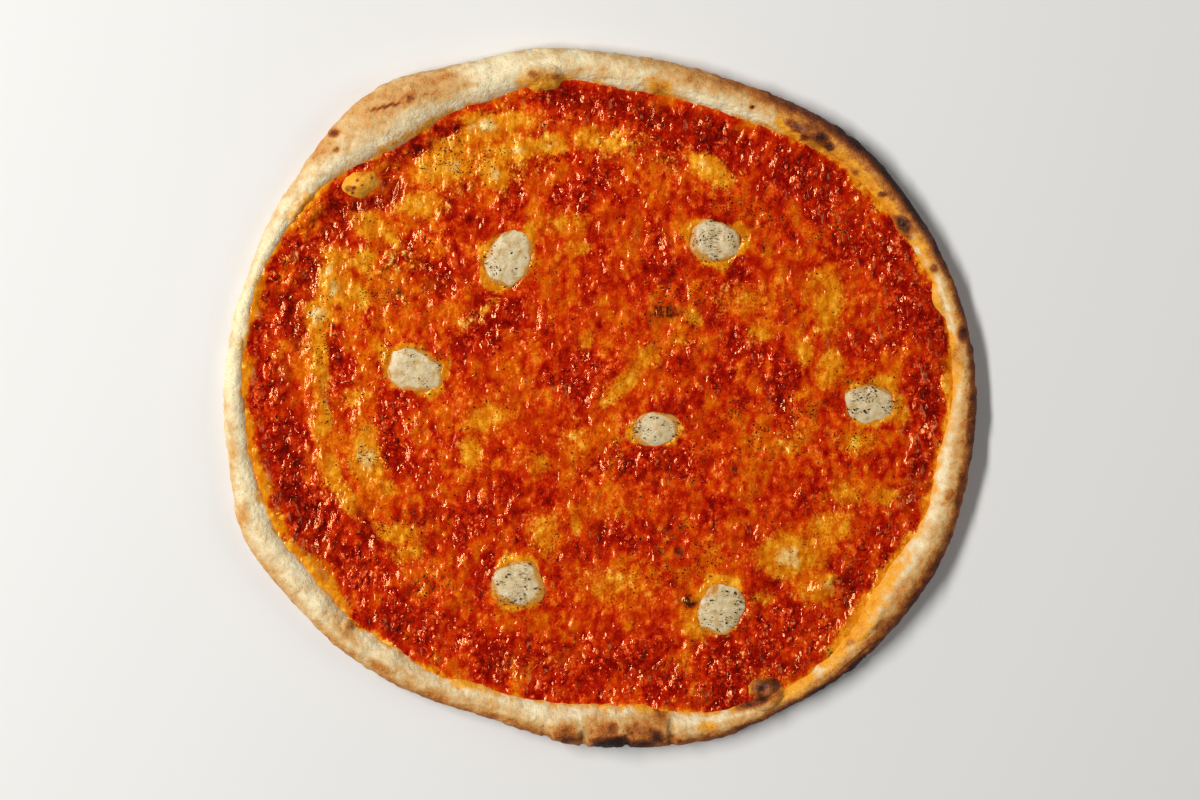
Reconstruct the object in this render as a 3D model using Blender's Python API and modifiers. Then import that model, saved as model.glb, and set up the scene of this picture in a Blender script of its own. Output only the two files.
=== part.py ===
"""A whole New York-style pizza: a hand-stretched round of dough with a puffed, uneven rim, tomato sauce
spread in its recess, melted cheese over the sauce, and seven pieces of fresh mozzarella.

The pizza lies flat, +Z up, with its origin under the middle of its outline. Sizes in this file are
millimetres, and finish_mesh turns them into metres. A bearing is an angle in degrees, counted
anticlockwise from +X as seen from above.
"""

import math
from dataclasses import dataclass

import bmesh
import bpy
import numpy as np

MM = 0.001

# The dough. A wider stretch of rim has puffed more, so it also stands higher.
CRUST_HALF_LENGTH = 218.0
CRUST_HALF_WIDTH = 203.5
RIM_WIDTH = 15.5
RIM_BASE_HEIGHT = 9.5
RIM_HEIGHT_PER_WIDTH = 0.30
RIM_CREST_SHARE = 0.46
RIM_WAIST_SHARE = 0.42
RIM_FOOT_SHARE = 0.22
INNER_FOOT_SHARE = 1.15
BASE_THICKNESS = 4.2
SAUCE_LINE_HEIGHT = 6.8
RIM_UNEVENNESS = 0.9
RIM_SWELL_SIZE = 26.0
RIM_DIMPLE_SIZE = 12.0
PROFILE_HALF_WIDTH = 196.0
CRUST_STEPS = 132
INNER_FOOT_STEPS = 2
INNER_SLOPE_STEPS = 5
OUTER_SLOPE_STEPS = 4
FOOT_STEPS = 3

# The layers on the dough, as heights over the underside of the pizza.
TOUCH_GAP = 0.3
LAYER_BED = 2.0
SAUCE_BED_LEVEL = 5.7
SAUCE_POOL_RISE = 1.6
SAUCE_UNEVENNESS = 0.9
SAUCE_LUMP_SIZE = 12.0
CHEESE_LEVEL = 8.2
CHEESE_UNEVENNESS = 0.8
CHEESE_SWELL_SIZE = 30.0
CHEESE_DIMPLE_SIZE = 13.0
CHEESE_DROP_AT_POOL = 4.6
POOL_EDGE_SOFTNESS = 7.0
POOL_EDGE_WANDER = 2.5
POOL_WANDER_SIZE = 22.0
LAYER_OVERLAP = 5.0
LAYER_HEM = 0.05
LAYER_CELL = 11.4

# The pieces of fresh mozzarella, half sunk in the cheese. Sauce stays clear of them.
MOZZARELLA_SINK = 1.2
MOZZARELLA_RISE = 2.6
MOZZARELLA_LUMP_HEIGHT = 0.5
MOZZARELLA_LUMP_SIZE = 7.0
MOZZARELLA_WANDER = 0.07
MOZZARELLA_SQUARENESS = 0.7
MOZZARELLA_CLEARING = (1.1, 1.5)
MOZZARELLA_SEGMENTS = 16
MOZZARELLA_RINGS = 6

# Chunks of tomato in the sauce, and dried herb leaves on the cheese.
TOMATO_CHUNKS = 28
TOMATO_CHUNK_RADII = (2.8, 4.6)
TOMATO_CHUNK_HEIGHT = 2.6
HERB_LEAVES = 16
HERB_LEAF_RADII = (1.1, 1.9)
HERB_LEAF_HEIGHT = 0.8
LUMP_SINK_SHARE = 0.35
CHUNK_CLEARANCE = 4.5
SEED = 17


@dataclass(frozen=True)
class Swell:
    """A stretch of the rim that is pushed out or drawn in, or is wider or narrower than the rest."""

    bearing: float
    spread: float
    amount: float


@dataclass(frozen=True)
class Patch:
    """An oval area on the top: a pool of sauce, a bubble or a piece of cheese."""

    x: float
    y: float
    length: float
    width: float
    turn: float = 0.0
    height: float = 0.0


OUTLINE_SWELLS = (
    Swell(bearing=45, spread=8, amount=2.5),
    Swell(bearing=70, spread=9, amount=-3.0),
    Swell(bearing=102, spread=7, amount=5.0),
    Swell(bearing=126, spread=10, amount=15.5),
    Swell(bearing=147, spread=8, amount=3.5),
    Swell(bearing=201, spread=6, amount=5.5),
    Swell(bearing=235, spread=8, amount=-3.0),
    Swell(bearing=251, spread=8, amount=-7.5),
    Swell(bearing=290, spread=7, amount=4.5),
    Swell(bearing=312, spread=9, amount=5.0),
    Swell(bearing=333, spread=8, amount=4.0),
)
WIDTH_SWELLS = (
    Swell(bearing=16, spread=12, amount=-4.0),
    Swell(bearing=60, spread=10, amount=4.0),
    Swell(bearing=85, spread=10, amount=4.5),
    Swell(bearing=108, spread=6, amount=7.0),
    Swell(bearing=126, spread=8, amount=21.0),
    Swell(bearing=163, spread=12, amount=-6.0),
    Swell(bearing=208, spread=10, amount=6.5),
    Swell(bearing=231, spread=6, amount=5.0),
    Swell(bearing=270, spread=11, amount=11.0),
    Swell(bearing=303, spread=7, amount=-3.0),
    Swell(bearing=330, spread=8, amount=9.0),
    Swell(bearing=351, spread=5, amount=4.0),
)
CRUST_BUBBLES = (
    Patch(x=-138, y=128, length=30, width=19, turn=20, height=4.5),
    Patch(x=-33, y=189, length=26, width=20, turn=0, height=3.5),
    Patch(x=96, y=-171, length=24, width=17, turn=20, height=4.5),
    Patch(x=59, y=-174, length=12, width=10, turn=0, height=2.0),
    Patch(x=-168, y=112, length=30, width=18, turn=60, height=2.5),
    Patch(x=-146, y=-129, length=8, width=7, turn=0, height=1.5),
    Patch(x=122, y=157, length=22, width=12, turn=-35, height=2.0),
    Patch(x=152, y=-128, length=36, width=16, turn=45, height=2.0),
    Patch(x=-21, y=-192, length=24, width=18, turn=0, height=2.0),
    Patch(x=7, y=-195, length=26, width=16, turn=5, height=2.4),
    Patch(x=31, y=-191, length=24, width=16, turn=10, height=2.0),
)
CHEESE_BUBBLES = (
    Patch(x=110, y=-90, length=30, width=20, turn=0, height=2.0),
    Patch(x=130, y=-108, length=19, width=15, turn=20, height=2.8),
    Patch(x=76, y=-37, length=13, width=12, turn=0, height=1.2),
    Patch(x=-163, y=5, length=90, width=13, turn=95, height=1.7),
    Patch(x=-152, y=-48, length=46, width=13, turn=120, height=1.5),
)
SAUCE_POOLS = (
    Patch(x=-93, y=71, length=24, width=16, turn=-10),
    Patch(x=-110, y=94, length=22, width=14, turn=40),
    Patch(x=-8, y=127, length=58, width=20, turn=-4),
    Patch(x=35, y=84, length=26, width=40, turn=20),
    Patch(x=70, y=74, length=30, width=15, turn=0),
    Patch(x=-58, y=44, length=48, width=24, turn=10),
    Patch(x=-17, y=14, length=44, width=26, turn=-20),
    Patch(x=48, y=24, length=40, width=20, turn=-30),
    Patch(x=26, y=-32, length=56, width=17, turn=0),
    Patch(x=90, y=30, length=30, width=24, turn=-40),
    Patch(x=104, y=2, length=14, width=44, turn=5),
    Patch(x=152, y=38, length=30, width=18, turn=-20),
    Patch(x=114, y=130, length=60, width=26, turn=-38),
    Patch(x=-119, y=-14, length=22, width=48, turn=12),
    Patch(x=-149, y=10, length=14, width=42, turn=5),
    Patch(x=-70, y=-76, length=54, width=28, turn=10),
    Patch(x=-96, y=-128, length=56, width=22, turn=-40),
    Patch(x=10, y=-78, length=34, width=12, turn=-5),
    Patch(x=84, y=-72, length=34, width=20, turn=-20),
    Patch(x=124, y=-60, length=26, width=18, turn=20),
    Patch(x=112, y=-130, length=40, width=26, turn=10),
)
SAUCE_BAND_WIDTH = 24.0
SAUCE_BAND_SWELLS = (
    Swell(bearing=25, spread=20, amount=6.0),
    Swell(bearing=60, spread=16, amount=14.0),
    Swell(bearing=124, spread=16, amount=-26.0),
    Swell(bearing=215, spread=22, amount=10.0),
    Swell(bearing=275, spread=28, amount=18.0),
)
MOZZARELLA_PIECES = (
    Patch(x=-53.5, y=85, length=36, width=25, turn=70),
    Patch(x=67, y=95, length=31, width=24, turn=-15),
    Patch(x=-107, y=20, length=34, width=25, turn=-20),
    Patch(x=32, y=-14, length=27, width=19, turn=10),
    Patch(x=156, y=1, length=28, width=23, turn=15),
    Patch(x=-48, y=-105, length=31, width=27, turn=15),
    Patch(x=71, y=-121, length=31, width=26, turn=65),
)


def height_at(top, x, y):
    """The height of a layer's top at one point."""
    return float(top(np.array([float(x)]), np.array([float(y)]))[0])


def smooth_step(low, high, value):
    """0 below low, 1 above high, and an S-curve between them."""
    share = np.clip((value - low) / (high - low), 0.0, 1.0)
    return share * share * (3.0 - 2.0 * share)


def uneven(x, y, size, seed):
    """Smooth random relief from -1 to 1, with bumps about as wide as size."""
    grid = np.random.default_rng(seed).uniform(-1.0, 1.0, (64, 64))
    column, row = x / size + 32.0, y / size + 32.0
    left, low = np.floor(column).astype(int), np.floor(row).astype(int)
    across = smooth_step(0.0, 1.0, column - left)
    up = smooth_step(0.0, 1.0, row - low)
    lower = grid[low % 64, left % 64] * (1 - across) + grid[low % 64, (left + 1) % 64] * across
    upper = grid[(low + 1) % 64, left % 64] * (1 - across) + grid[(low + 1) % 64, (left + 1) % 64] * across
    return lower * (1 - up) + upper * up


def swell_sum(bearing, swells):
    """The sum of the swells at a bearing, each one a bell curve round its own bearing."""
    total = np.zeros_like(bearing)
    for swell in swells:
        away = (bearing - swell.bearing + 180.0) % 360.0 - 180.0
        total += swell.amount * np.exp(-0.5 * (away / swell.spread) ** 2)
    return total


def oval_distance(x, y, patch):
    """0 at the middle of the patch, 1 on its edge, and more outside it."""
    turn = math.radians(patch.turn)
    along = (x - patch.x) * math.cos(turn) + (y - patch.y) * math.sin(turn)
    aside = (y - patch.y) * math.cos(turn) - (x - patch.x) * math.sin(turn)
    return np.hypot(along / (patch.length / 2), aside / (patch.width / 2))


def dome_sum(x, y, patches):
    """The height that the bubbles add at a point, each one a round dome that fades at its edge."""
    total = np.zeros_like(x)
    for patch in patches:
        inside = np.clip(1.0 - oval_distance(x, y, patch) ** 2, 0.0, 1.0)
        total += patch.height * inside * (2.0 - inside)
    return total


def outer_radius(bearing):
    """The outline of the crust: an oval that the rim's swells push out and draw in."""
    angle = np.radians(bearing)
    oval = 1.0 / np.hypot(np.cos(angle) / CRUST_HALF_LENGTH, np.sin(angle) / CRUST_HALF_WIDTH)
    return oval + swell_sum(bearing, OUTLINE_SWELLS)


def rim_width(bearing):
    """How wide the bare rim is, from its outline to the line where the sauce starts."""
    return RIM_WIDTH + swell_sum(bearing, WIDTH_SWELLS)


def rim_height(bearing):
    """The height of the rim's crest over the underside."""
    return RIM_BASE_HEIGHT + RIM_HEIGHT_PER_WIDTH * rim_width(bearing)


def sauce_radius(bearing):
    """The line on the inner slope of the rim where the sauce starts."""
    return outer_radius(bearing) - rim_width(bearing)


def bearing_of(x, y):
    """The bearing of a point, in degrees."""
    return np.degrees(np.arctan2(y, x)) % 360.0


def sauce_share(x, y):
    """1 where sauce shows, 0 where cheese covers it: the pools, and a band inside the rim.

    It falls from 1 to 0 across the soft edge of a pool, and is a half on the pool's outline.
    """
    bearing = bearing_of(x, y)
    band = SAUCE_BAND_WIDTH + swell_sum(bearing, SAUCE_BAND_SWELLS)
    outside = sauce_radius(bearing) - np.hypot(x, y) - band
    for pool in SAUCE_POOLS:
        outside = np.minimum(outside, (oval_distance(x, y, pool) - 1.0) * pool.width / 2)
    outside = outside + POOL_EDGE_WANDER * uneven(x, y, POOL_WANDER_SIZE, SEED)
    share = smooth_step(POOL_EDGE_SOFTNESS, -POOL_EDGE_SOFTNESS, outside)
    return share * smooth_step(*MOZZARELLA_CLEARING, nearest_mozzarella(x, y))


def nearest_mozzarella(x, y):
    """The oval distance to the nearest piece of mozzarella."""
    return np.minimum.reduce([oval_distance(x, y, piece) for piece in MOZZARELLA_PIECES])


def sauce_top(x, y):
    """The sauce: a flat spread under the cheese that rises, lumpy, where it shows."""
    share = sauce_share(x, y)
    lumps = SAUCE_UNEVENNESS * uneven(x, y, SAUCE_LUMP_SIZE, SEED + 1) * smooth_step(0.4, 1.0, share)
    return SAUCE_BED_LEVEL + SAUCE_POOL_RISE * smooth_step(0.1, 0.9, share) + lumps


def cheese_top(x, y):
    """The melted cheese: gently uneven, with bubbles and ridges, and sunk where the sauce shows."""
    swell = 0.6 * uneven(x, y, CHEESE_SWELL_SIZE, SEED + 2)
    dimple = 0.4 * uneven(x, y, CHEESE_DIMPLE_SIZE, SEED + 3)
    level = CHEESE_LEVEL + CHEESE_UNEVENNESS * (swell + dimple) + dome_sum(x, y, CHEESE_BUBBLES)
    return level - CHEESE_DROP_AT_POOL * smooth_step(0.0, 1.0, sauce_share(x, y))


def material(name, colour, roughness):
    """A plain material with one colour for the whole sub-part."""
    made = bpy.data.materials.new(name)
    made.use_nodes = True
    shader = made.node_tree.nodes["Principled BSDF"]
    shader.inputs["Base Color"].default_value = (*colour, 1.0)
    shader.inputs["Roughness"].default_value = roughness
    shader.inputs["Metallic"].default_value = 0.0
    return made


def points_of(mesh):
    """The mesh's vertices as an array of rows."""
    points = np.empty(len(mesh.vertices) * 3, np.float32)
    mesh.vertices.foreach_get("co", points)
    return points.reshape(-1, 3).astype(np.float64)


def put_points(mesh, points):
    """Moves the mesh's vertices to the rows of an array."""
    mesh.vertices.foreach_set("co", points.astype(np.float32).ravel())
    mesh.update()


def new_object(name, mesh, collection):
    """An object of that name for the mesh, in the collection."""
    made = bpy.data.objects.new(name, mesh)
    collection.objects.link(made)
    return made


def mesh_from(shape, name):
    """Ends a bmesh: it gets outward faces and becomes the mesh of that name."""
    bmesh.ops.recalc_face_normals(shape, faces=shape.faces)
    mesh = bpy.data.meshes.new(name)
    shape.to_mesh(mesh)
    shape.free()
    return mesh


def apply_modifiers(thing):
    """Replaces the object's mesh by what its modifiers make of it."""
    bpy.context.view_layer.update()
    graph = bpy.context.evaluated_depsgraph_get()
    mesh = bpy.data.meshes.new_from_object(thing.evaluated_get(graph))
    thing.modifiers.clear()
    thing.data = mesh


def boolean(thing, operation, other):
    """Joins the object with another one, or cuts it by it, and applies the result.

    The layers are closed meshes with thousands of faces, for which MANIFOLD is the sure solver.
    """
    modifier = thing.modifiers.new(operation.title(), "BOOLEAN")
    modifier.operation = operation
    modifier.solver = "MANIFOLD"
    if isinstance(other, bpy.types.Collection):
        modifier.operand_type = "COLLECTION"
        modifier.collection = other
    else:
        modifier.object = other
    apply_modifiers(thing)


def keep_largest(thing):
    """Drops the loose scraps that a cut has left, so that the object is one piece."""
    shape = bmesh.new()
    shape.from_mesh(thing.data)
    unseen = set(shape.verts)
    pieces = []
    while unseen:
        piece = {unseen.pop()}
        edge_of_search = list(piece)
        while edge_of_search:
            near = {edge.other_vert(vert) for vert in edge_of_search for edge in vert.link_edges}
            edge_of_search = list(near - piece)
            piece |= near
        unseen -= piece
        pieces.append(piece)
    largest = max(pieces, key=len)
    bmesh.ops.delete(shape, geom=[vert for vert in shape.verts if vert not in largest], context="VERTS")
    shape.to_mesh(thing.data)
    shape.free()


def copy_for_cutting(thing, lift, cutters, draw_in=0.0):
    """A copy of the object to cut the next layer with.

    It is raised, and drawn in towards the middle, by the gap that the two keep.
    """
    copy = new_object(thing.name + "_cutter", thing.data.copy(), cutters)
    shrink = 1.0 - draw_in / CRUST_HALF_WIDTH
    put_points(copy.data, points_of(copy.data) * (shrink, shrink, 1.0) + (0.0, 0.0, lift))
    copy.hide_render = True
    copy.display_type = "WIRE"
    return copy


def crust_profile():
    """Half of the crust's section, from the middle of its floor over the rim to the underside.

    Across the rim a point's place is its share of the rim's width, counted from the outline.
    """
    width, height = RIM_WIDTH, RIM_BASE_HEIGHT + RIM_HEIGHT_PER_WIDTH * RIM_WIDTH
    outline = PROFILE_HALF_WIDTH + width
    points = [(0.0, BASE_THICKNESS)]
    for step in range(INNER_FOOT_STEPS + 1):
        share = INNER_FOOT_SHARE + (1.0 - INNER_FOOT_SHARE) * step / INNER_FOOT_STEPS
        rise = (SAUCE_LINE_HEIGHT - BASE_THICKNESS) * (step / INNER_FOOT_STEPS) ** 2
        points.append((outline - width * share, BASE_THICKNESS + rise))
    for step in range(1, INNER_SLOPE_STEPS + 1):
        angle = math.radians(90.0 * step / INNER_SLOPE_STEPS)
        share = RIM_CREST_SHARE + (1.0 - RIM_CREST_SHARE) * math.cos(angle)
        rise = (height - SAUCE_LINE_HEIGHT) * math.sin(angle)
        points.append((outline - width * share, SAUCE_LINE_HEIGHT + rise))
    waist = height * RIM_WAIST_SHARE
    for step in range(1, OUTER_SLOPE_STEPS + 1):
        angle = math.radians(90.0 * step / OUTER_SLOPE_STEPS)
        share = RIM_CREST_SHARE * (1.0 - math.sin(angle))
        points.append((outline - width * share, waist + (height - waist) * math.cos(angle)))
    for step in range(1, FOOT_STEPS + 1):
        angle = math.radians(90.0 * step / FOOT_STEPS)
        share = RIM_FOOT_SHARE * (1.0 - math.cos(angle))
        points.append((outline - width * share, waist * (1.0 - math.sin(angle))))
    points.append((0.0, 0.0))
    return points


def reshape_crust(points):
    """Turns the even, round crust into the hand-made one: its outline, rim and bubbles."""
    x, y, z = points.T
    radius = np.hypot(x, y)
    bearing = bearing_of(x, y)
    even_height = RIM_BASE_HEIGHT + RIM_HEIGHT_PER_WIDTH * RIM_WIDTH
    across = (PROFILE_HALF_WIDTH + RIM_WIDTH - radius) / RIM_WIDTH
    on_rim = across < INNER_FOOT_SHARE + 0.01
    rim_place = outer_radius(bearing) - across * rim_width(bearing)
    above_line = np.clip((z - SAUCE_LINE_HEIGHT) / (even_height - SAUCE_LINE_HEIGHT), 0.0, 1.0)
    on_inner_side = across > RIM_CREST_SHARE
    inner_z = z + above_line * (rim_height(bearing) - even_height)
    outer_z = z * rim_height(bearing) / even_height
    z = np.where(on_rim, np.where(on_inner_side, inner_z, outer_z), z)
    x = np.where(on_rim, rim_place, 0.0) * np.cos(np.radians(bearing))
    y = np.where(on_rim, rim_place, 0.0) * np.sin(np.radians(bearing))
    upper = smooth_step(0.35, 0.8, z / rim_height(bearing))
    swell = 0.6 * uneven(x, y, RIM_SWELL_SIZE, SEED + 4)
    dimple = 0.4 * uneven(x, y, RIM_DIMPLE_SIZE, SEED + 5)
    z = z + upper * (RIM_UNEVENNESS * (swell + dimple) + dome_sum(x, y, CRUST_BUBBLES))
    return np.stack([x, y, z], axis=1)


def build_crust(part):
    """The dough: its section turned about Z and then reshaped by bearing."""
    profile = crust_profile()
    outline = bmesh.new()
    verts = [outline.verts.new((x, 0.0, z)) for x, z in profile]
    for first, second in zip(verts, verts[1:]):
        outline.edges.new((first, second))
    mesh = bpy.data.meshes.new("crust")
    outline.to_mesh(mesh)
    outline.free()
    crust = new_object("crust", mesh, part)
    turn = crust.modifiers.new("Turn", "SCREW")
    turn.steps = turn.render_steps = CRUST_STEPS
    turn.use_merge_vertices = True
    turn.merge_threshold = 0.0001
    apply_modifiers(crust)
    shape = bmesh.new()
    shape.from_mesh(crust.data)
    bmesh.ops.remove_doubles(shape, verts=shape.verts, dist=0.001)
    crust.data = mesh_from(shape, "crust")
    put_points(crust.data, reshape_crust(points_of(crust.data)))
    return crust


def build_layer(name, top, part):
    """A slab over the recess: a net of even triangles at the layer's top, drawn down into the dough."""
    reach = CRUST_HALF_LENGTH + LAYER_CELL
    rows = round(2 * reach / (LAYER_CELL * math.sqrt(0.75)))
    columns = round(2 * reach / LAYER_CELL)
    shape = bmesh.new()
    bmesh.ops.create_grid(shape, x_segments=columns, y_segments=rows, size=reach)
    row_height = 2 * reach / rows
    for vert in shape.verts:
        row = round((vert.co.y + reach) / row_height)
        vert.co.x += LAYER_CELL / 2 * (row % 2)
    dropped = []
    for vert in shape.verts:
        radius = math.hypot(vert.co.x, vert.co.y)
        edge = float(sauce_radius(bearing_of(vert.co.x, vert.co.y))) + LAYER_OVERLAP
        if radius > edge + LAYER_CELL:
            dropped.append(vert)
        elif radius > edge:
            vert.co.xy *= (edge + LAYER_HEM * (radius - edge)) / radius
    bmesh.ops.delete(shape, geom=dropped, context="VERTS")
    bmesh.ops.triangulate(shape, faces=shape.faces, quad_method="SHORT_EDGE")
    drawn = bmesh.ops.extrude_face_region(shape, geom=list(shape.faces))
    upper = [vert for vert in drawn["geom"] if isinstance(vert, bmesh.types.BMVert)]
    bmesh.ops.translate(shape, verts=upper, vec=(0.0, 0.0, 1.0))
    mesh = mesh_from(shape, name)
    x, y, z = points_of(mesh).T
    z = np.where(z > 0.5, top(x, y), LAYER_BED)
    put_points(mesh, np.stack([x, y, z], axis=1))
    return new_object(name, mesh, part)


def build_mozzarella(number, piece, part):
    """A lump of soft cheese: a flattened ball whose sides wander and whose underside is flat."""
    shape = bmesh.new()
    bmesh.ops.create_uvsphere(
        shape, u_segments=MOZZARELLA_SEGMENTS, v_segments=MOZZARELLA_RINGS, radius=1.0
    )
    name = f"mozzarella_{number}"
    mesh = mesh_from(shape, name)
    x, y, z = points_of(mesh).T
    wander = 1.0 + MOZZARELLA_WANDER * uneven(x, y, 0.8, SEED + 10 + number)
    reach = np.maximum(np.hypot(x, y), 1e-6)
    corners = np.where(reach > 1e-3, (np.abs(x) ** 3 + np.abs(y) ** 3) ** (1 / 3) / reach, 1.0)
    grow = wander / corners**MOZZARELLA_SQUARENESS
    along = x * grow * piece.length / 2
    aside = y * grow * piece.width / 2
    seat = height_at(cheese_top, piece.x, piece.y)
    lumps = MOZZARELLA_LUMP_HEIGHT * uneven(along, aside, MOZZARELLA_LUMP_SIZE, SEED + 20 + number)
    sink = MOZZARELLA_SINK * smooth_step(0.0, -0.3, z)
    height = seat + np.where(z > 0, (MOZZARELLA_RISE + lumps) * z, -sink)
    turn = math.radians(piece.turn)
    points = np.stack(
        [
            piece.x + along * math.cos(turn) - aside * math.sin(turn),
            piece.y + along * math.sin(turn) + aside * math.cos(turn),
            height,
        ],
        axis=1,
    )
    put_points(mesh, points)
    return new_object(name, mesh, part)


def pocket_for(piece_object, patch, cutters):
    """A cutter the shape of a mozzarella piece, grown by the gap, that opens its pocket in the cheese."""
    cutter = copy_for_cutting(piece_object, 0.0, cutters)
    points = points_of(cutter.data)
    middle = np.array([patch.x, patch.y, points[:, 2].mean()])
    half = (points.max(axis=0) - points.min(axis=0)) / 2
    put_points(cutter.data, middle + (points - middle) * (half + TOUCH_GAP) / half)
    return cutter


def scatter(count, wanted, spacing, random):
    """Random places on the top for which wanted says yes, each clear of those before it."""
    places = []
    while len(places) < count:
        x, y = random.uniform(-CRUST_HALF_LENGTH, CRUST_HALF_LENGTH, 2)
        clear = all(math.hypot(x - other[0], y - other[1]) > spacing for other in places)
        if clear and wanted(np.array([x]), np.array([y]))[0]:
            places.append((x, y))
    return places


def lump(name, x, y, z, sizes, turn, collection):
    """A small rounded lump of 20 faces, with its middle on the layer."""
    shape = bmesh.new()
    bmesh.ops.create_icosphere(shape, subdivisions=1, radius=1.0)
    mesh = mesh_from(shape, name)
    along, aside, up = (points_of(mesh) * sizes).T
    rows = [
        x + along * math.cos(turn) - aside * math.sin(turn),
        y + along * math.sin(turn) + aside * math.cos(turn),
        z + up,
    ]
    put_points(mesh, np.stack(rows, axis=1))
    return new_object(name, mesh, collection)


def fuse_lumps(layer, top, count, wanted, radii, height, seed):
    """Scatters lumps over a layer and joins them to it in one union."""
    random = np.random.default_rng(seed)
    lumps = bpy.data.collections.new(layer.name + "_lumps")
    bpy.context.scene.collection.children.link(lumps)
    for number, (x, y) in enumerate(scatter(count, wanted, 3 * radii[1], random)):
        length, width = random.uniform(*radii, 2)
        level = height_at(top, x, y) - LUMP_SINK_SHARE * height
        turn = random.uniform(0, math.pi)
        lump(f"{layer.name}_lump_{number}", x, y, level, (length, width, height), turn, lumps)
    boolean(layer, "UNION", lumps)
    for joined in list(lumps.objects):
        bpy.data.objects.remove(joined)
    bpy.data.collections.remove(lumps)


def where_sauce_shows(x, y):
    """Inside the sauce, at least a chunk's radius from the cheese and from the rim."""
    inside = sauce_radius(bearing_of(x, y)) - np.hypot(x, y) > 2 * CHUNK_CLEARANCE
    for bearing in range(0, 360, 45):
        near_x = x + CHUNK_CLEARANCE * math.cos(math.radians(bearing))
        near_y = y + CHUNK_CLEARANCE * math.sin(math.radians(bearing))
        inside = inside & (sauce_share(near_x, near_y) > 0.9)
    return inside


def where_cheese_shows(x, y):
    """On the cheese, clear of the sauce, the rim and the mozzarella."""
    inside = sauce_radius(bearing_of(x, y)) - np.hypot(x, y) > 3 * CHUNK_CLEARANCE
    return inside & (sauce_share(x, y) < 0.02) & (nearest_mozzarella(x, y) > 1.5)


def finish_mesh(thing, look):
    """Gives the object its material and smooth shading, and turns its millimetres into metres."""
    put_points(thing.data, points_of(thing.data) * MM)
    thing.data.materials.clear()
    thing.data.materials.append(look)
    thing.data.shade_smooth()


def centre_on_origin(things):
    """Moves all of the pizza so that the middle of its outline stands over the origin."""
    crust_points = points_of(things[0].data)
    middle = (crust_points.max(axis=0) + crust_points.min(axis=0)) / 2
    for thing in things:
        put_points(thing.data, points_of(thing.data) - (middle[0], middle[1], 0.0))


def main():
    """Builds the crust, then each layer cut clear of what is under it, and the pieces on top."""
    for thing in list(bpy.data.objects):
        bpy.data.objects.remove(thing)
    part = bpy.data.collections.new("new_york_pizza")
    cutters = bpy.data.collections.new("cutters")
    bpy.context.scene.collection.children.link(part)
    bpy.context.scene.collection.children.link(cutters)

    crust = build_crust(part)
    crust_cutter = copy_for_cutting(crust, TOUCH_GAP, cutters, draw_in=TOUCH_GAP)

    sauce = build_layer("tomato_sauce", sauce_top, part)
    fuse_lumps(sauce, sauce_top, TOMATO_CHUNKS, where_sauce_shows, TOMATO_CHUNK_RADII,
               TOMATO_CHUNK_HEIGHT, SEED + 30)
    sauce_cutter = copy_for_cutting(sauce, TOUCH_GAP, cutters)
    boolean(sauce, "DIFFERENCE", crust_cutter)
    keep_largest(sauce)

    cheese = build_layer("melted_cheese", cheese_top, part)
    fuse_lumps(cheese, cheese_top, HERB_LEAVES, where_cheese_shows, HERB_LEAF_RADII,
               HERB_LEAF_HEIGHT, SEED + 31)
    boolean(cheese, "DIFFERENCE", sauce_cutter)
    boolean(cheese, "DIFFERENCE", crust_cutter)
    pieces = []
    for number, patch in enumerate(MOZZARELLA_PIECES, start=1):
        piece = build_mozzarella(number, patch, part)
        boolean(cheese, "DIFFERENCE", pocket_for(piece, patch, cutters))
        pieces.append(piece)
    keep_largest(cheese)

    centre_on_origin([crust, sauce, cheese, *pieces])
    finish_mesh(crust, material("baked_dough", (0.70, 0.50, 0.27), 0.7))
    finish_mesh(sauce, material("tomato_sauce", (0.36, 0.02, 0.005), 0.35))
    finish_mesh(cheese, material("melted_cheese", (0.60, 0.16, 0.02), 0.35))
    fresh_cheese = material("fresh_mozzarella", (0.67, 0.52, 0.33), 0.5)
    for piece in pieces:
        finish_mesh(piece, fresh_cheese)
    for cutter in list(cutters.objects):
        bpy.data.objects.remove(cutter)


if __name__ == "__main__":
    main()
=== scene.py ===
"""Dresses a whole New York-style pizza: its dough, sauce, melted cheese, fresh mozzarella and seasoning.

Every surface is a formula worked out on whole arrays. Lengths are millimetres until a mesh is put
together, which turns them into metres. A bearing is an angle in degrees, counted anticlockwise from +X
as seen from above. The outline, the rim and the layers repeat the sizes of the solids that they cover.
"""

import logging
import math
from collections.abc import Callable
from dataclasses import dataclass, field
from enum import Enum

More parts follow.
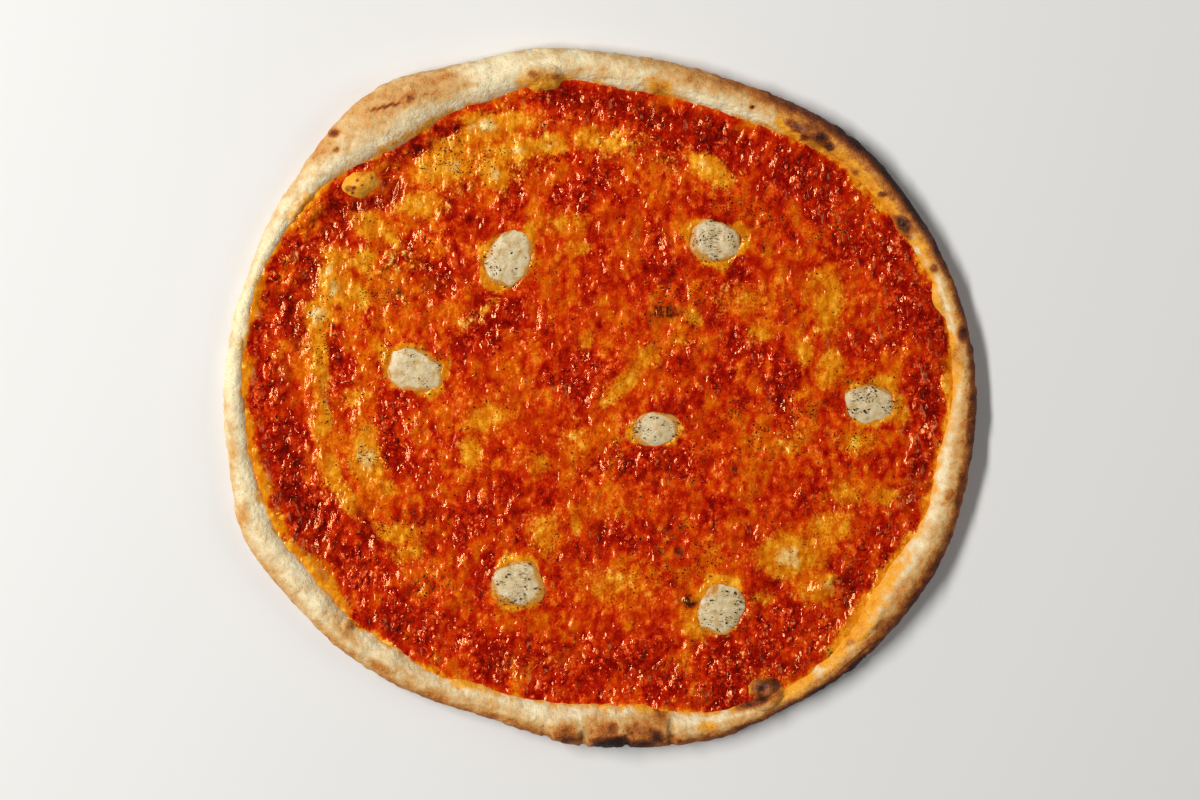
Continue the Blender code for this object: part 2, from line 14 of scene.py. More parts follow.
import bpy
import numpy as np
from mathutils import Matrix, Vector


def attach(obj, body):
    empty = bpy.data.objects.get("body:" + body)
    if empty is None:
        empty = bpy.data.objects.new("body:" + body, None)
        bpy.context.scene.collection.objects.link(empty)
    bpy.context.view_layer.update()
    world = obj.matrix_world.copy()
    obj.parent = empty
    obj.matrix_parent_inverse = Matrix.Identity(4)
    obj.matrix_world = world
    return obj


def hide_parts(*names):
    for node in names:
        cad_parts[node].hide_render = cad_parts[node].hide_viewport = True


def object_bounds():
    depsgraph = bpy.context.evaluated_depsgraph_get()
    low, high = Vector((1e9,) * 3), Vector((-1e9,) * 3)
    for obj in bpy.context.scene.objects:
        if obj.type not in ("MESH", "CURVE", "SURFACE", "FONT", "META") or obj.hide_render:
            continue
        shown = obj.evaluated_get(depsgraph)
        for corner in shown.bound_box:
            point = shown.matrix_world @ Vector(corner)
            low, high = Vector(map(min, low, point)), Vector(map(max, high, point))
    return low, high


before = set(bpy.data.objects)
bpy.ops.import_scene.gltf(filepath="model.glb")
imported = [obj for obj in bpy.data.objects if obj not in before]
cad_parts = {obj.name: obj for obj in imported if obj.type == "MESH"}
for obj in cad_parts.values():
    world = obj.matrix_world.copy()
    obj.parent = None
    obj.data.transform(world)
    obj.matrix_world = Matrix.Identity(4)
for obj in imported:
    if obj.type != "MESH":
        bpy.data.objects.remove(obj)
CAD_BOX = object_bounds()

Array = np.ndarray
Formula = Callable[[Array, Array], Array]
Colour = tuple[float, float, float, float]
Triple = tuple[float, float, float]
Socket = bpy.types.NodeSocket
MM = 0.001
WIDE_NET = 512
LOG = logging.getLogger("pizza")


class Slot(Enum):
    """The finishes that the record names."""

    DOUGH = "baked_dough"
    SAUCE = "tomato_sauce"
    CHEESE = "melted_cheese"
    MOZZARELLA = "fresh_mozzarella"


def screen(red: int, green: int, blue: int) -> Colour:
    """The linear colour of a screen colour: each channel is decoded by the sRGB curve.

    Args:
        red, green, blue: The channels, from 0 to 255.

    Returns:
        The colour that a shader takes, with full alpha.
    """
    channels = (value / 255.0 for value in (red, green, blue))
    linear = [c / 12.92 if c <= 0.04045 else ((c + 0.055) / 1.055) ** 2.4 for c in channels]
    return (linear[0], linear[1], linear[2], 1.0)


# ---------------------------------------------------------------------------------------------------
# Places and relief
# ---------------------------------------------------------------------------------------------------


@dataclass(frozen=True)
class Swell:
    """A stretch of the rim that is pushed out or drawn in, or is wider or narrower than the rest."""

    bearing: float
    spread: float
    amount: float


@dataclass(frozen=True)
class Patch:
    """An oval area on the top, with how much there is of what it stands for."""

    x: float
    y: float
    length: float
    width: float
    turn: float = 0.0
    amount: float = 1.0

    def distance(self, x: Array, y: Array) -> Array:
        """0 at the middle of the patch, 1 on its outline, and more outside it.

        Args:
            x, y: The places.

        Returns:
            The distance as a share of the oval's half axis that way.
        """
        turn = math.radians(self.turn)
        along = (x - self.x) * math.cos(turn) + (y - self.y) * math.sin(turn)
        aside = (y - self.y) * math.cos(turn) - (x - self.x) * math.sin(turn)
        return np.hypot(along / (self.length / 2), aside / (self.width / 2))


def smooth_step(low: float, high: float, value: Array) -> Array:
    """An S-curve: 0 where value is below low, 1 above high, and 3t^2 - 2t^3 between them."""
    share = np.clip((value - low) / (high - low), 0.0, 1.0)
    return share * share * (3.0 - 2.0 * share)


def uneven(x: Array, y: Array, size: float, seed: int, cells: int = 64) -> Array:
    """Smooth random relief: random values on a square net, blended by an S-curve between its knots.

    Args:
        x, y: The places.
        size: The distance between two knots, which is about how wide a bump is.
        seed: Which relief this is.
        cells: The number of knots a side, after which the relief repeats.

    Returns:
        Values from -1 to 1.
    """
    grid = np.random.default_rng(seed).uniform(-1.0, 1.0, (cells, cells))
    column, row = x / size + cells / 2, y / size + cells / 2
    left, low = np.floor(column).astype(int), np.floor(row).astype(int)
    across = smooth_step(0.0, 1.0, column - left)
    up = smooth_step(0.0, 1.0, row - low)
    here, right = left % cells, (left + 1) % cells
    lower = grid[low % cells, here] * (1 - across) + grid[low % cells, right] * across
    upper = grid[(low + 1) % cells, here] * (1 - across) + grid[(low + 1) % cells, right] * across
    return lower * (1 - up) + upper * up


def fine_uneven(x: Array, y: Array, size: float, seed: int) -> Array:
    """Relief of two sizes, the second half as wide and half as strong, on a net that never repeats here.

    Args:
        x, y: The places.
        size: How wide a bump of the first size is.
        seed: Which relief this is.

    Returns:
        Values from -1 to 1.
    """
    coarse = uneven(x, y, size, seed, WIDE_NET)
    fine = uneven(x + 7.3, y - 4.1, size / 2, seed + 500, WIDE_NET)
    return (coarse + 0.5 * fine) / 1.5


def rolling(x: Array, y: Array, wide: float, narrow: float, seed: int) -> Array:
    """Relief of two sizes: three fifths of it come from the wide one, the rest from the narrow one."""
    return 0.6 * uneven(x, y, wide, seed) + 0.4 * uneven(x, y, narrow, seed + 1)


@dataclass(frozen=True)
class Drift:
    """Random relief of one size: how strong it is, how wide its bumps are, and which relief it is."""

    strength: float
    size: float
    seed: int
    squash: float = 1.0


def drift_sum(x: Array, y: Array, drifts: tuple[Drift, ...]) -> Array:
    """The sum of the drifts at a place, each on a net that never repeats here, with Y squashed first.

    Args:
        x, y: The places.
        drifts: The drifts, each of which may squash Y in its own way.

    Returns:
        The sum, about 0.
    """
    total = np.zeros(np.shape(x))
    for drift in drifts:
        total = total + drift.strength * uneven(x, drift.squash * y, drift.size, drift.seed, WIDE_NET)
    return total


def pebbles(x: Array, y: Array, size: float, seed: int, cells: int = 256) -> tuple[Array, Array]:
    """Rounded lumps side by side: each place belongs to the nearest of the jittered knots of a net.

    Args:
        x, y: The places.
        size: The distance between two knots.
        seed: Which lumps these are.
        cells: The number of knots a side, after which the lumps repeat.

    Returns:
        The distance to the nearest knot, in sizes, and a random value from 0 to 1 that each lump keeps
        all over.
    """
    random = np.random.default_rng(seed)
    shift_x, shift_y, kind = random.uniform(0.0, 1.0, (3, cells, cells))
    column, row = x / size, y / size
    left, low = np.floor(column).astype(int), np.floor(row).astype(int)
    nearest = np.full(x.shape, np.inf)
    own = np.zeros(x.shape)
    for step_x in (-1, 0, 1):
        for step_y in (-1, 0, 1):
            knot = ((low + step_y) % cells, (left + step_x) % cells)
            away = np.hypot(left + step_x + shift_x[knot] - column, low + step_y + shift_y[knot] - row)
            closer = away < nearest
            own = np.where(closer, kind[knot], own)
            nearest = np.where(closer, away, nearest)
    return nearest, own


@dataclass(frozen=True)
class Pebbling:
    """Rounded lumps side by side, in places that random relief first shifts along X.

    size is the distance between two lumps, shift how far they are shifted, shift_size how wide the bumps
    of that relief are, and squash how much Y is squashed, which draws the lumps out along it.
    """

    size: float
    seed: int
    shift: float
    shift_size: float
    squash: float = 1.0

    def at(self, x: Array, y: Array) -> tuple[Array, Array]:
        """The distance to the nearest lump's middle, in sizes, and the random value that the lump keeps."""
        shifted = x + self.shift * uneven(x, y, self.shift_size, self.seed - 1)
        return pebbles(shifted, self.squash * y, self.size, self.seed)


def dome(distance: Array, steepness: float = 1.0) -> Array:
    """1 at the middle, less by steepness times the distance squared, and never under 0."""
    return np.clip(1.0 - steepness * distance**2, 0.0, 1.0)


def swell_sum(bearing: Array, swells: tuple[Swell, ...]) -> Array:
    """The sum of the swells at a bearing, each one a bell curve round its own bearing.

    Args:
        bearing: The bearings.
        swells: The swells.

    Returns:
        The sum, in the swells' own unit.
    """
    total = np.zeros_like(bearing)
    for swell in swells:
        away = (bearing - swell.bearing + 180.0) % 360.0 - 180.0
        total += swell.amount * np.exp(-0.5 * (away / swell.spread) ** 2)
    return total


def dome_sum(x: Array, y: Array, patches: tuple[Patch, ...]) -> Array:
    """The height that bubbles add: each is s(2 - s), where s falls from 1 to 0 as the distance squared.

    Args:
        x, y: The places.
        patches: The bubbles, whose amounts are their heights.

    Returns:
        The height.
    """
    total = np.zeros(np.shape(x))
    for patch in patches:
        inside = dome(patch.distance(x, y))
        total += patch.amount * inside * (2.0 - inside)
    return total


def soft_dome_sum(x: Array, y: Array, patches: tuple[Patch, ...]) -> Array:
    """The height that soft swellings add: each is (1 - (d/1.2)^2)^2, which has no crease at its edge.

    Args:
        x, y: The places.
        patches: The swellings, whose amounts are their heights.

    Returns:
        The height.
    """
    total = np.zeros(np.shape(x))
    for patch in patches:
        total += patch.amount * dome(patch.distance(x, y) / 1.2) ** 2
    return total


def cover(x: Array, y: Array, patches: tuple[Patch, ...], edge: float = 0.45) -> Array:
    """How much of what the patches stand for lies at a place: the most that any one patch gives.

    Args:
        x, y: The places.
        patches: The patches, whose amounts are the most that each gives.
        edge: How far each patch fades, inwards and outwards from its outline, as a share of its size.

    Returns:
        Values from 0 to the largest amount.
    """
    most = np.zeros(np.shape(x))
    for patch in patches:
        most = np.maximum(most, patch.amount * smooth_step(1.0 + edge, 1.0 - edge, patch.distance(x, y)))
    return most


def bearing_of(x: Array, y: Array) -> Array:
    """The bearing of a place, in degrees."""
    return np.degrees(np.arctan2(y, x)) % 360.0


# ---------------------------------------------------------------------------------------------------
# The form of the pizza, as its solids have it
# ---------------------------------------------------------------------------------------------------

OUTLINE_SWELLS = (
    Swell(45, 8, 2.5), Swell(70, 9, -3.0), Swell(102, 7, 5.0), Swell(126, 10, 15.5), Swell(147, 8, 3.5),
    Swell(201, 6, 5.5), Swell(235, 8, -3.0), Swell(251, 8, -7.5), Swell(290, 7, 4.5),
    Swell(312, 9, 5.0), Swell(333, 8, 4.0),
)
WIDTH_SWELLS = (
    Swell(16, 12, -4.0), Swell(60, 10, 4.0), Swell(85, 10, 4.5), Swell(108, 6, 7.0),
    Swell(126, 8, 21.0), Swell(163, 12, -6.0), Swell(208, 10, 6.5), Swell(231, 6, 5.0),
    Swell(270, 11, 11.0), Swell(303, 7, -3.0), Swell(330, 8, 9.0), Swell(351, 5, 4.0),
)
CRUST_BUBBLES = (
    Patch(-138, 128, 30, 19, 20, 4.5), Patch(-33, 189, 26, 20, 0, 3.5),
    Patch(96, -171, 24, 17, 20, 4.5), Patch(59, -174, 12, 10, 0, 2.0),
    Patch(-168, 112, 30, 18, 60, 2.5), Patch(-146, -129, 8, 7, 0, 1.5),
    Patch(122, 157, 22, 12, -35, 2.0), Patch(152, -128, 36, 16, 45, 2.0),
    Patch(-21, -192, 24, 18, 0, 2.0), Patch(7, -195, 26, 16, 5, 2.4), Patch(31, -191, 24, 16, 10, 2.0),
)
CHEESE_BUBBLES = (
    Patch(110, -90, 30, 20, 0, 2.0), Patch(130, -108, 19, 15, 20, 2.8), Patch(76, -37, 13, 12, 0, 1.2),
    Patch(-163, 5, 90, 13, 95, 1.7), Patch(-152, -48, 46, 13, 120, 1.5),
)
SAUCE_POOLS = (
    Patch(-93, 71, 24, 16, -10), Patch(-110, 94, 22, 14, 40), Patch(-8, 127, 58, 20, -4),
    Patch(35, 84, 26, 40, 20), Patch(70, 74, 30, 15), Patch(-58, 44, 48, 24, 10),
    Patch(-17, 14, 44, 26, -20), Patch(48, 24, 40, 20, -30), Patch(26, -32, 56, 17),
    Patch(90, 30, 30, 24, -40), Patch(104, 2, 14, 44, 5), Patch(152, 38, 30, 18, -20),
    Patch(114, 130, 60, 26, -38), Patch(-119, -14, 22, 48, 12), Patch(-149, 10, 14, 42, 5),
    Patch(-70, -76, 54, 28, 10), Patch(-96, -128, 56, 22, -40), Patch(10, -78, 34, 12, -5),
    Patch(84, -72, 34, 20, -20), Patch(124, -60, 26, 18, 20), Patch(112, -130, 40, 26, 10),
)
SAUCE_BAND_SWELLS = (
    Swell(25, 20, 6.0), Swell(60, 16, 14.0), Swell(124, 16, -26.0), Swell(215, 22, 10.0),
    Swell(275, 28, 18.0),
)
MOZZARELLA_PIECES = (
    Patch(-53.5, 85, 36, 25, 70), Patch(67, 95, 31, 24, -15), Patch(-107, 20, 34, 25, -20),
    Patch(32, -14, 27, 19, 10), Patch(156, 1, 28, 23, 15), Patch(-48, -105, 31, 27, 15),
    Patch(71, -121, 31, 26, 65),
)


@dataclass(frozen=True)
class Pie:
    """The form that all the pieces share: the outline, the rim, and the tops of the two layers."""

    half_length: float = 218.0
    half_width: float = 203.5
    rim_width_even: float = 15.5
    rim_base_height: float = 9.5
    rim_height_per_width: float = 0.30
    base_thickness: float = 4.2
    sauce_line_height: float = 6.8
    sauce_bed: float = 5.7
    sauce_rise: float = 1.6
    cheese_level: float = 8.2
    cheese_drop: float = 4.6
    band_width: float = 24.0
    pool_softness: float = 7.0
    pool_wander: float = 2.5
    pool_wander_size: float = 22.0
    mozzarella_clearing: tuple[float, float] = (1.1, 1.5)
    sauce_unevenness: float = 0.9
    sauce_lump_size: float = 12.0
    cheese_unevenness: float = 0.8
    cheese_swell_size: float = 30.0
    cheese_dimple_size: float = 13.0
    outline_inset: float = 0.3
    cad_steps: int = 132
    seed: int = 17

    def outer_radius(self, bearing: Array) -> Array:
        """The outline of the crust: an oval that the rim's swells push out and draw in."""
        angle = np.radians(bearing)
        oval = 1.0 / np.hypot(np.cos(angle) / self.half_length, np.sin(angle) / self.half_width)
        return oval + swell_sum(bearing, OUTLINE_SWELLS)

    def rim_width(self, bearing: Array) -> Array:
        """How wide the bare rim is, from its outline to the line where the sauce starts."""
        return self.rim_width_even + swell_sum(bearing, WIDTH_SWELLS)

    def rim_height(self, bearing: Array) -> Array:
        """The height of the rim's crest over the underside."""
        return self.rim_base_height + self.rim_height_per_width * self.rim_width(bearing)

    def even_height(self) -> float:
        """The height of the crest of a rim that is neither swollen nor drawn in."""
        return self.rim_base_height + self.rim_height_per_width * self.rim_width_even

    def sauce_radius(self, bearing: Array) -> Array:
        """The line on the inner slope of the rim where the sauce starts."""
        return self.outer_radius(bearing) - self.rim_width(bearing)

    def middle(self) -> tuple[float, float]:
        """The middle of the outline's box, which the solids have over the origin.

        Returns:
            x and y, which every skin takes from its points to be centred.
        """
        bearing = np.arange(self.cad_steps) * 360.0 / self.cad_steps
        radius = self.outer_radius(bearing)
        x, y = radius * np.cos(np.radians(bearing)), radius * np.sin(np.radians(bearing))
        return (x.max() + x.min()) / 2, (y.max() + y.min()) / 2

    def nearest_mozzarella(self, x: Array, y: Array) -> Array:
        """The oval distance to the nearest piece of mozzarella."""
        return np.minimum.reduce([piece.distance(x, y) for piece in MOZZARELLA_PIECES])

    def outside_sauce(self, x: Array, y: Array) -> Array:
        """How far a place is outside the pools and the band inside the rim, and below 0 within them.

        Args:
            x, y: The places.

        Returns:
            The distance to the nearest of them, with a wandering edge.
        """
        bearing = bearing_of(x, y)
        band = self.band_width + swell_sum(bearing, SAUCE_BAND_SWELLS)
        outside = self.inside_line(x, y) - band
        for pool in SAUCE_POOLS:
            outside = np.minimum(outside, (pool.distance(x, y) - 1.0) * pool.width / 2)
        return outside + self.pool_wander * uneven(x, y, self.pool_wander_size, self.seed)

    def inside_line(self, x: Array, y: Array) -> Array:
        """How far a place is inside the line where the sauce starts."""
        return self.sauce_radius(bearing_of(x, y)) - np.hypot(x, y)

    def sauce_share(self, x: Array, y: Array) -> Array:
        """1 where sauce shows and 0 where cheese covers it."""
        share = smooth_step(self.pool_softness, -self.pool_softness, self.outside_sauce(x, y))
        return share * smooth_step(*self.mozzarella_clearing, self.nearest_mozzarella(x, y))

    def sauce_full_level(self, x: Array, y: Array) -> Array:
        """The height of the sauce where it shows, gently lumpy."""
        lumps = self.sauce_unevenness * uneven(x, y, self.sauce_lump_size, self.seed + 1)
        return self.sauce_bed + self.sauce_rise + lumps

    def cheese_full_level(self, x: Array, y: Array) -> Array:
        """The melted cheese before it sinks at the pools: gently uneven, with bubbles and ridges."""
        relief = rolling(x, y, self.cheese_swell_size, self.cheese_dimple_size, self.seed + 2)
        return self.cheese_level + self.cheese_unevenness * relief + soft_dome_sum(x, y, CHEESE_BUBBLES)


# ---------------------------------------------------------------------------------------------------
# What lies where on the topping, read in the photo and given in real sizes
# ---------------------------------------------------------------------------------------------------

YELLOW_CHEESE = (
    Patch(-169, 114, 22, 14, 60, 0.8), Patch(-181, 76, 26, 12, 75, 0.75),
    Patch(-118, 80, 60, 40, 40, 0.3), Patch(-70, 146, 90, 44, 8, 0.35),
    Patch(30, 148, 70, 24, -10, 0.3), Patch(97, -163, 26, 16, 10, 0.7), Patch(59, -172, 12, 9, 0, 0.8),
    Patch(134, -146, 17, 10, 50, 1.0), Patch(150, -124, 32, 11, 45, 1.0),
    Patch(113, -160, 20, 9, 35, 0.8), Patch(165, -102, 32, 10, 58, 1.1), Patch(-33, 181, 22, 8, 0, 0.9),
    Patch(-62, 163, 42, 14, 8), Patch(-88, 150, 30, 15, 20, 0.8), Patch(-85, 138, 24, 13, 0, 0.9),
    Patch(-60, 134, 15, 16, 0, 0.9), Patch(-48, 148, 28, 12, 10, 0.8), Patch(-28, 151, 17, 12, 0, 0.8),
    Patch(-98, 136, 22, 12, -10, 0.8), Patch(-104, 116, 26, 14, 0, 0.7), Patch(-131, 104, 26, 13, -35),
    Patch(-117, 97, 17, 9, -20, 0.8), Patch(-135, 84, 14, 11, 30, 0.8),
    Patch(-157, 80, 24, 17, 30, 0.9), Patch(-150, 67, 30, 18, -20), Patch(-164, 52, 22, 17, 60),
    Patch(-162, 22, 12, 48, 8, 0.85), Patch(-160, -10, 11, 36, 2, 0.8),
    Patch(-157, -38, 11, 32, 14, 0.75), Patch(-146, -56, 10, 30, 38, 0.7),
    Patch(-170, 112, 23, 14, 55, 0.7), Patch(-140, 5, 15, 13, 0, 0.8),
    Patch(-135, -30, 17, 36, 4, 0.95), Patch(-128, -50, 16, 11, 0, 0.8),
    Patch(-117, -76, 24, 13, 0, 0.6), Patch(-112, -87, 20, 11, 10, 0.5), Patch(-72, 50, 28, 8, 38, 0.8),
    Patch(-65, -8, 27, 17, 20, 0.55), Patch(-75, -28, 12, 18, 0, 0.6), Patch(-36, -35, 15, 12, 0, 0.5),
    Patch(-13, -25, 20, 30, 0, 0.35), Patch(12, 11, 34, 10, 42, 0.7), Patch(27, 27, 17, 13, 40, 0.7),
    Patch(46, 38, 11, 9, 0, 0.6), Patch(53, 52, 14, 8, -50, 0.7), Patch(2, 155, 32, 14, 0, 0.8),
    Patch(26, 154, 22, 13, 0, 0.6), Patch(60, 139, 22, 13, -20, 0.8), Patch(71, 132, 14, 12, 0, 0.6),
    Patch(12, 131, 15, 9, 0, 0.5), Patch(-20, 105, 26, 12, 0, 0.55), Patch(-12, 92, 12, 9, 0, 0.5),
    Patch(85, 62, 36, 16, 5, 0.35), Patch(92, 42, 15, 10, 0, 0.75), Patch(118, 31, 9, 15, 10, 0.7),
    Patch(131, 60, 18, 34, 0, 0.65), Patch(128, 75, 16, 10, 0, 0.5), Patch(133, 21, 14, 20, -15, 0.8),
    Patch(109, -22, 17, 12, 20, 0.7), Patch(150, -21, 22, 12, 0, 0.6), Patch(175, -5, 9, 17, 10, 0.7),
    Patch(166, -55, 17, 14, 0, 0.6), Patch(134, -71, 20, 16, 0, 0.8), Patch(143, -52, 17, 14, 0, 0.55),
    Patch(112, -89, 34, 22, 0, 0.95), Patch(127, -108, 20, 15, 10, 1.1),
    Patch(95, -114, 15, 10, 0, 0.4), Patch(-31, -77, 20, 26, 0, 0.45), Patch(10, -107, 46, 20, 0, 0.4),
    Patch(8, -60, 30, 13, 0, 0.3), Patch(55, -130, 12, 18, 20, 0.7), Patch(78, -150, 13, 10, 0, 0.4),
    Patch(-14, -69, 6, 12, 0, 0.7), Patch(186, 72, 10, 26, 25, 0.5), Patch(-8, 38, 10, 12, 0, 0.4),
)
# Where the sauce is deep and wet: partly real dark sauce, partly painted shade in the moats inside the rim
# and the creases round the bubbles.
DEEP_SAUCE_AND_SHADE = (
    Patch(-22, 178, 27, 13), Patch(6, 176, 42, 11, 0, 0.7), Patch(32, 170, 30, 14, -20, 0.8),
    Patch(62, 160, 40, 14, -22, 0.6), Patch(-120, 130, 11, 26, 10), Patch(-136, 117, 30, 7, 12),
    Patch(-131, 140, 20, 4, 15), Patch(-108, 148, 30, 11, 28), Patch(-90, 159, 24, 9, 20, 0.95),
    Patch(-130, 117, 24, 8, 15, 0.9), Patch(-151, 109, 14, 20, 10), Patch(-161, 96, 26, 10, 30, 0.9),
    Patch(-168, 76, 12, 26, 0, 0.85), Patch(-177, 51, 13, 32, 22, 0.9), Patch(-184, 10, 12, 40, 4, 0.5),
    Patch(-184, -17, 11, 26, 0, 0.9), Patch(-178, -43, 14, 32, -18, 0.9), Patch(-171, -62, 14, 26, -25),
    Patch(-166, -80, 12, 20, -30, 0.7), Patch(-93, 71, 19, 12, 20, 0.9), Patch(195, 38, 11, 50, 6, 0.8),
    Patch(191, 5, 12, 40, 2, 0.9), Patch(186, -34, 11, 30, -8, 0.7), Patch(179, -57, 9, 17, 0, 0.9),
    Patch(145, -107, 9, 32, -5), Patch(-118, -130, 22, 14, -30, 0.8),
    Patch(-148, -90, 32, 16, -40, 0.6), Patch(-53, -152, 42, 14, 0, 0.5),
    Patch(70, -178, 28, 8, 8, 0.9), Patch(112, -155, 20, 9, 15, 0.7), Patch(0, -75, 14, 10, 0, 0.6),
    Patch(104, 8, 9, 22, 0, 0.7), Patch(120, 140, 44, 10, -35, 0.4), Patch(-100, -64, 20, 9, 20, 0.4),
    Patch(160, 92, 12, 26, 35, 0.5), Patch(-78, 108, 14, 8, 0, 0.4), Patch(-136, -72, 8, 26, 20, 0.8),
    Patch(-22, -150, 24, 14, 0, 0.5), Patch(20, -155, 30, 12, 0, 0.4),
)
DARK_SPOTS = (
    Patch(134, -147, 9, 6, 50, 0.6), Patch(-143, 127, 9, 9, 0, 0.45), Patch(59, -174, 8, 5, 10, 0.5),
    Patch(-130, 122, 8, 4, 30, 0.3), Patch(-138, 133, 12, 4, 10, 0.3), Patch(38, 54, 20, 13, -10, 0.85),
    Patch(31, 51, 12, 12, 0, 0.7), Patch(-117, 67, 8, 10, 0, 0.7), Patch(129, 2, 6, 6, 0, 0.8),
    Patch(52, -116, 13, 9, 10, 1.05), Patch(59, -117, 5, 5, 0, 0.8), Patch(78, -37, 6, 5, 30, 0.8),
    Patch(-103, -106, 20, 8, 10, 0.55), Patch(46, -86, 8, 7, 0, 0.8), Patch(-176, -58, 10, 10, 0, 0.5),
    Patch(76, 5, 6, 9, 0, 0.35), Patch(-150, 57, 7, 3, 5, 0.8), Patch(135, -106, 9, 10, 10, 0.5),
    Patch(60, -171, 7, 5, 0, 0.7), Patch(-135, -16, 6, 5, 0, 0.5), Patch(-131, -35, 3, 4, 0, 0.7),
    Patch(70, -9, 5, 4, 0, 0.6), Patch(-29, -18, 4, 3, 0, 0.7),
)
SEASONED = (
    Patch(40, -90, 50, 34, 0, 1.0), Patch(40, 60, 36, 30, 0, 1.0), Patch(84, 112, 56, 30, 0, 0.8),
    Patch(150, -22, 36, 22, 0, 0.9), Patch(-52, 86, 34, 26, 70, 0.7), Patch(67, 95, 34, 28, 0, 0.6),
    Patch(-107, 20, 36, 26, -20, 0.4), Patch(32, -14, 30, 22, 10, 0.4), Patch(156, 1, 34, 28, 15, 0.6),
    Patch(-48, -105, 36, 30, 15, 0.45), Patch(71, -121, 34, 28, 65, 0.35),
    Patch(-161, 30, 20, 60, 0, 0.8), Patch(-85, 145, 50, 20, 0, 0.7), Patch(-137, 70, 50, 40, 0, 0.5),
    Patch(-118, -72, 30, 20, 0, 0.8), Patch(26, -32, 60, 24, 0, 0.8), Patch(-135, -20, 20, 30, 0, 0.6),
    Patch(100, -8, 60, 36, 0, 0.5), Patch(30, -155, 60, 20, 0, 0.5), Patch(-100, -106, 34, 18, 0, 0.8),
    Patch(130, 105, 50, 30, 0, 0.5),
)
DOUGH_SWELLINGS = (
    Patch(-168, 113, 25, 16, 60, 3.0), Patch(-179, 77, 30, 16, 75, 2.0),
    Patch(134, -146, 18, 11, 50, 2.4), Patch(59, -173, 13, 10, 0, 2.0),
    Patch(150, -125, 30, 12, 45, 1.8), Patch(112, -160, 16, 10, 35, 1.2),
    Patch(52, -116, 11, 8, 10, 1.4), Patch(-33, 182, 24, 12, 0, 2.6), Patch(165, -103, 30, 10, 58, 1.6),
    Patch(111, 150, 26, 8, -35, 1.4),
)
FRINGE_SWELLS = (
    Swell(180, 26, 1.0), Swell(145, 12, -1.0), Swell(95, 26, -6.0), Swell(205, 10, 2.0),
    Swell(262, 24, -4.5), Swell(322, 12, 4.0), Swell(40, 14, 2.0), Swell(5, 8, 2.0),
    Swell(300, 8, -3.0),
)
SMOOTH_CHEESE = (
    Patch(-38, -20, 50, 44), Patch(-70, -8, 24, 60, 0, 0.9), Patch(12, -112, 66, 24),
    Patch(25, -58, 76, 18, 0, 0.9), Patch(-25, -72, 36, 20, 0, 0.8), Patch(70, -16, 26, 34, 0, 0.6),
    Patch(-138, -24, 16, 52, 0, 0.9), Patch(-140, 4, 18, 16), Patch(-40, 100, 44, 20, 0, 0.6),
    Patch(132, 60, 18, 26, 0, 0.7), Patch(8, 8, 30, 14, 40, 0.7), Patch(110, -88, 30, 18),
    Patch(127, -110, 16, 13), Patch(90, 62, 36, 16, 0, 0.6), Patch(150, -22, 24, 14, 0, 0.7),
    Patch(60, 140, 24, 12, -20, 0.6), Patch(-60, 160, 46, 16, 8, 0.7),
    Patch(-133, 98, 26, 16, -30, 0.7),
)


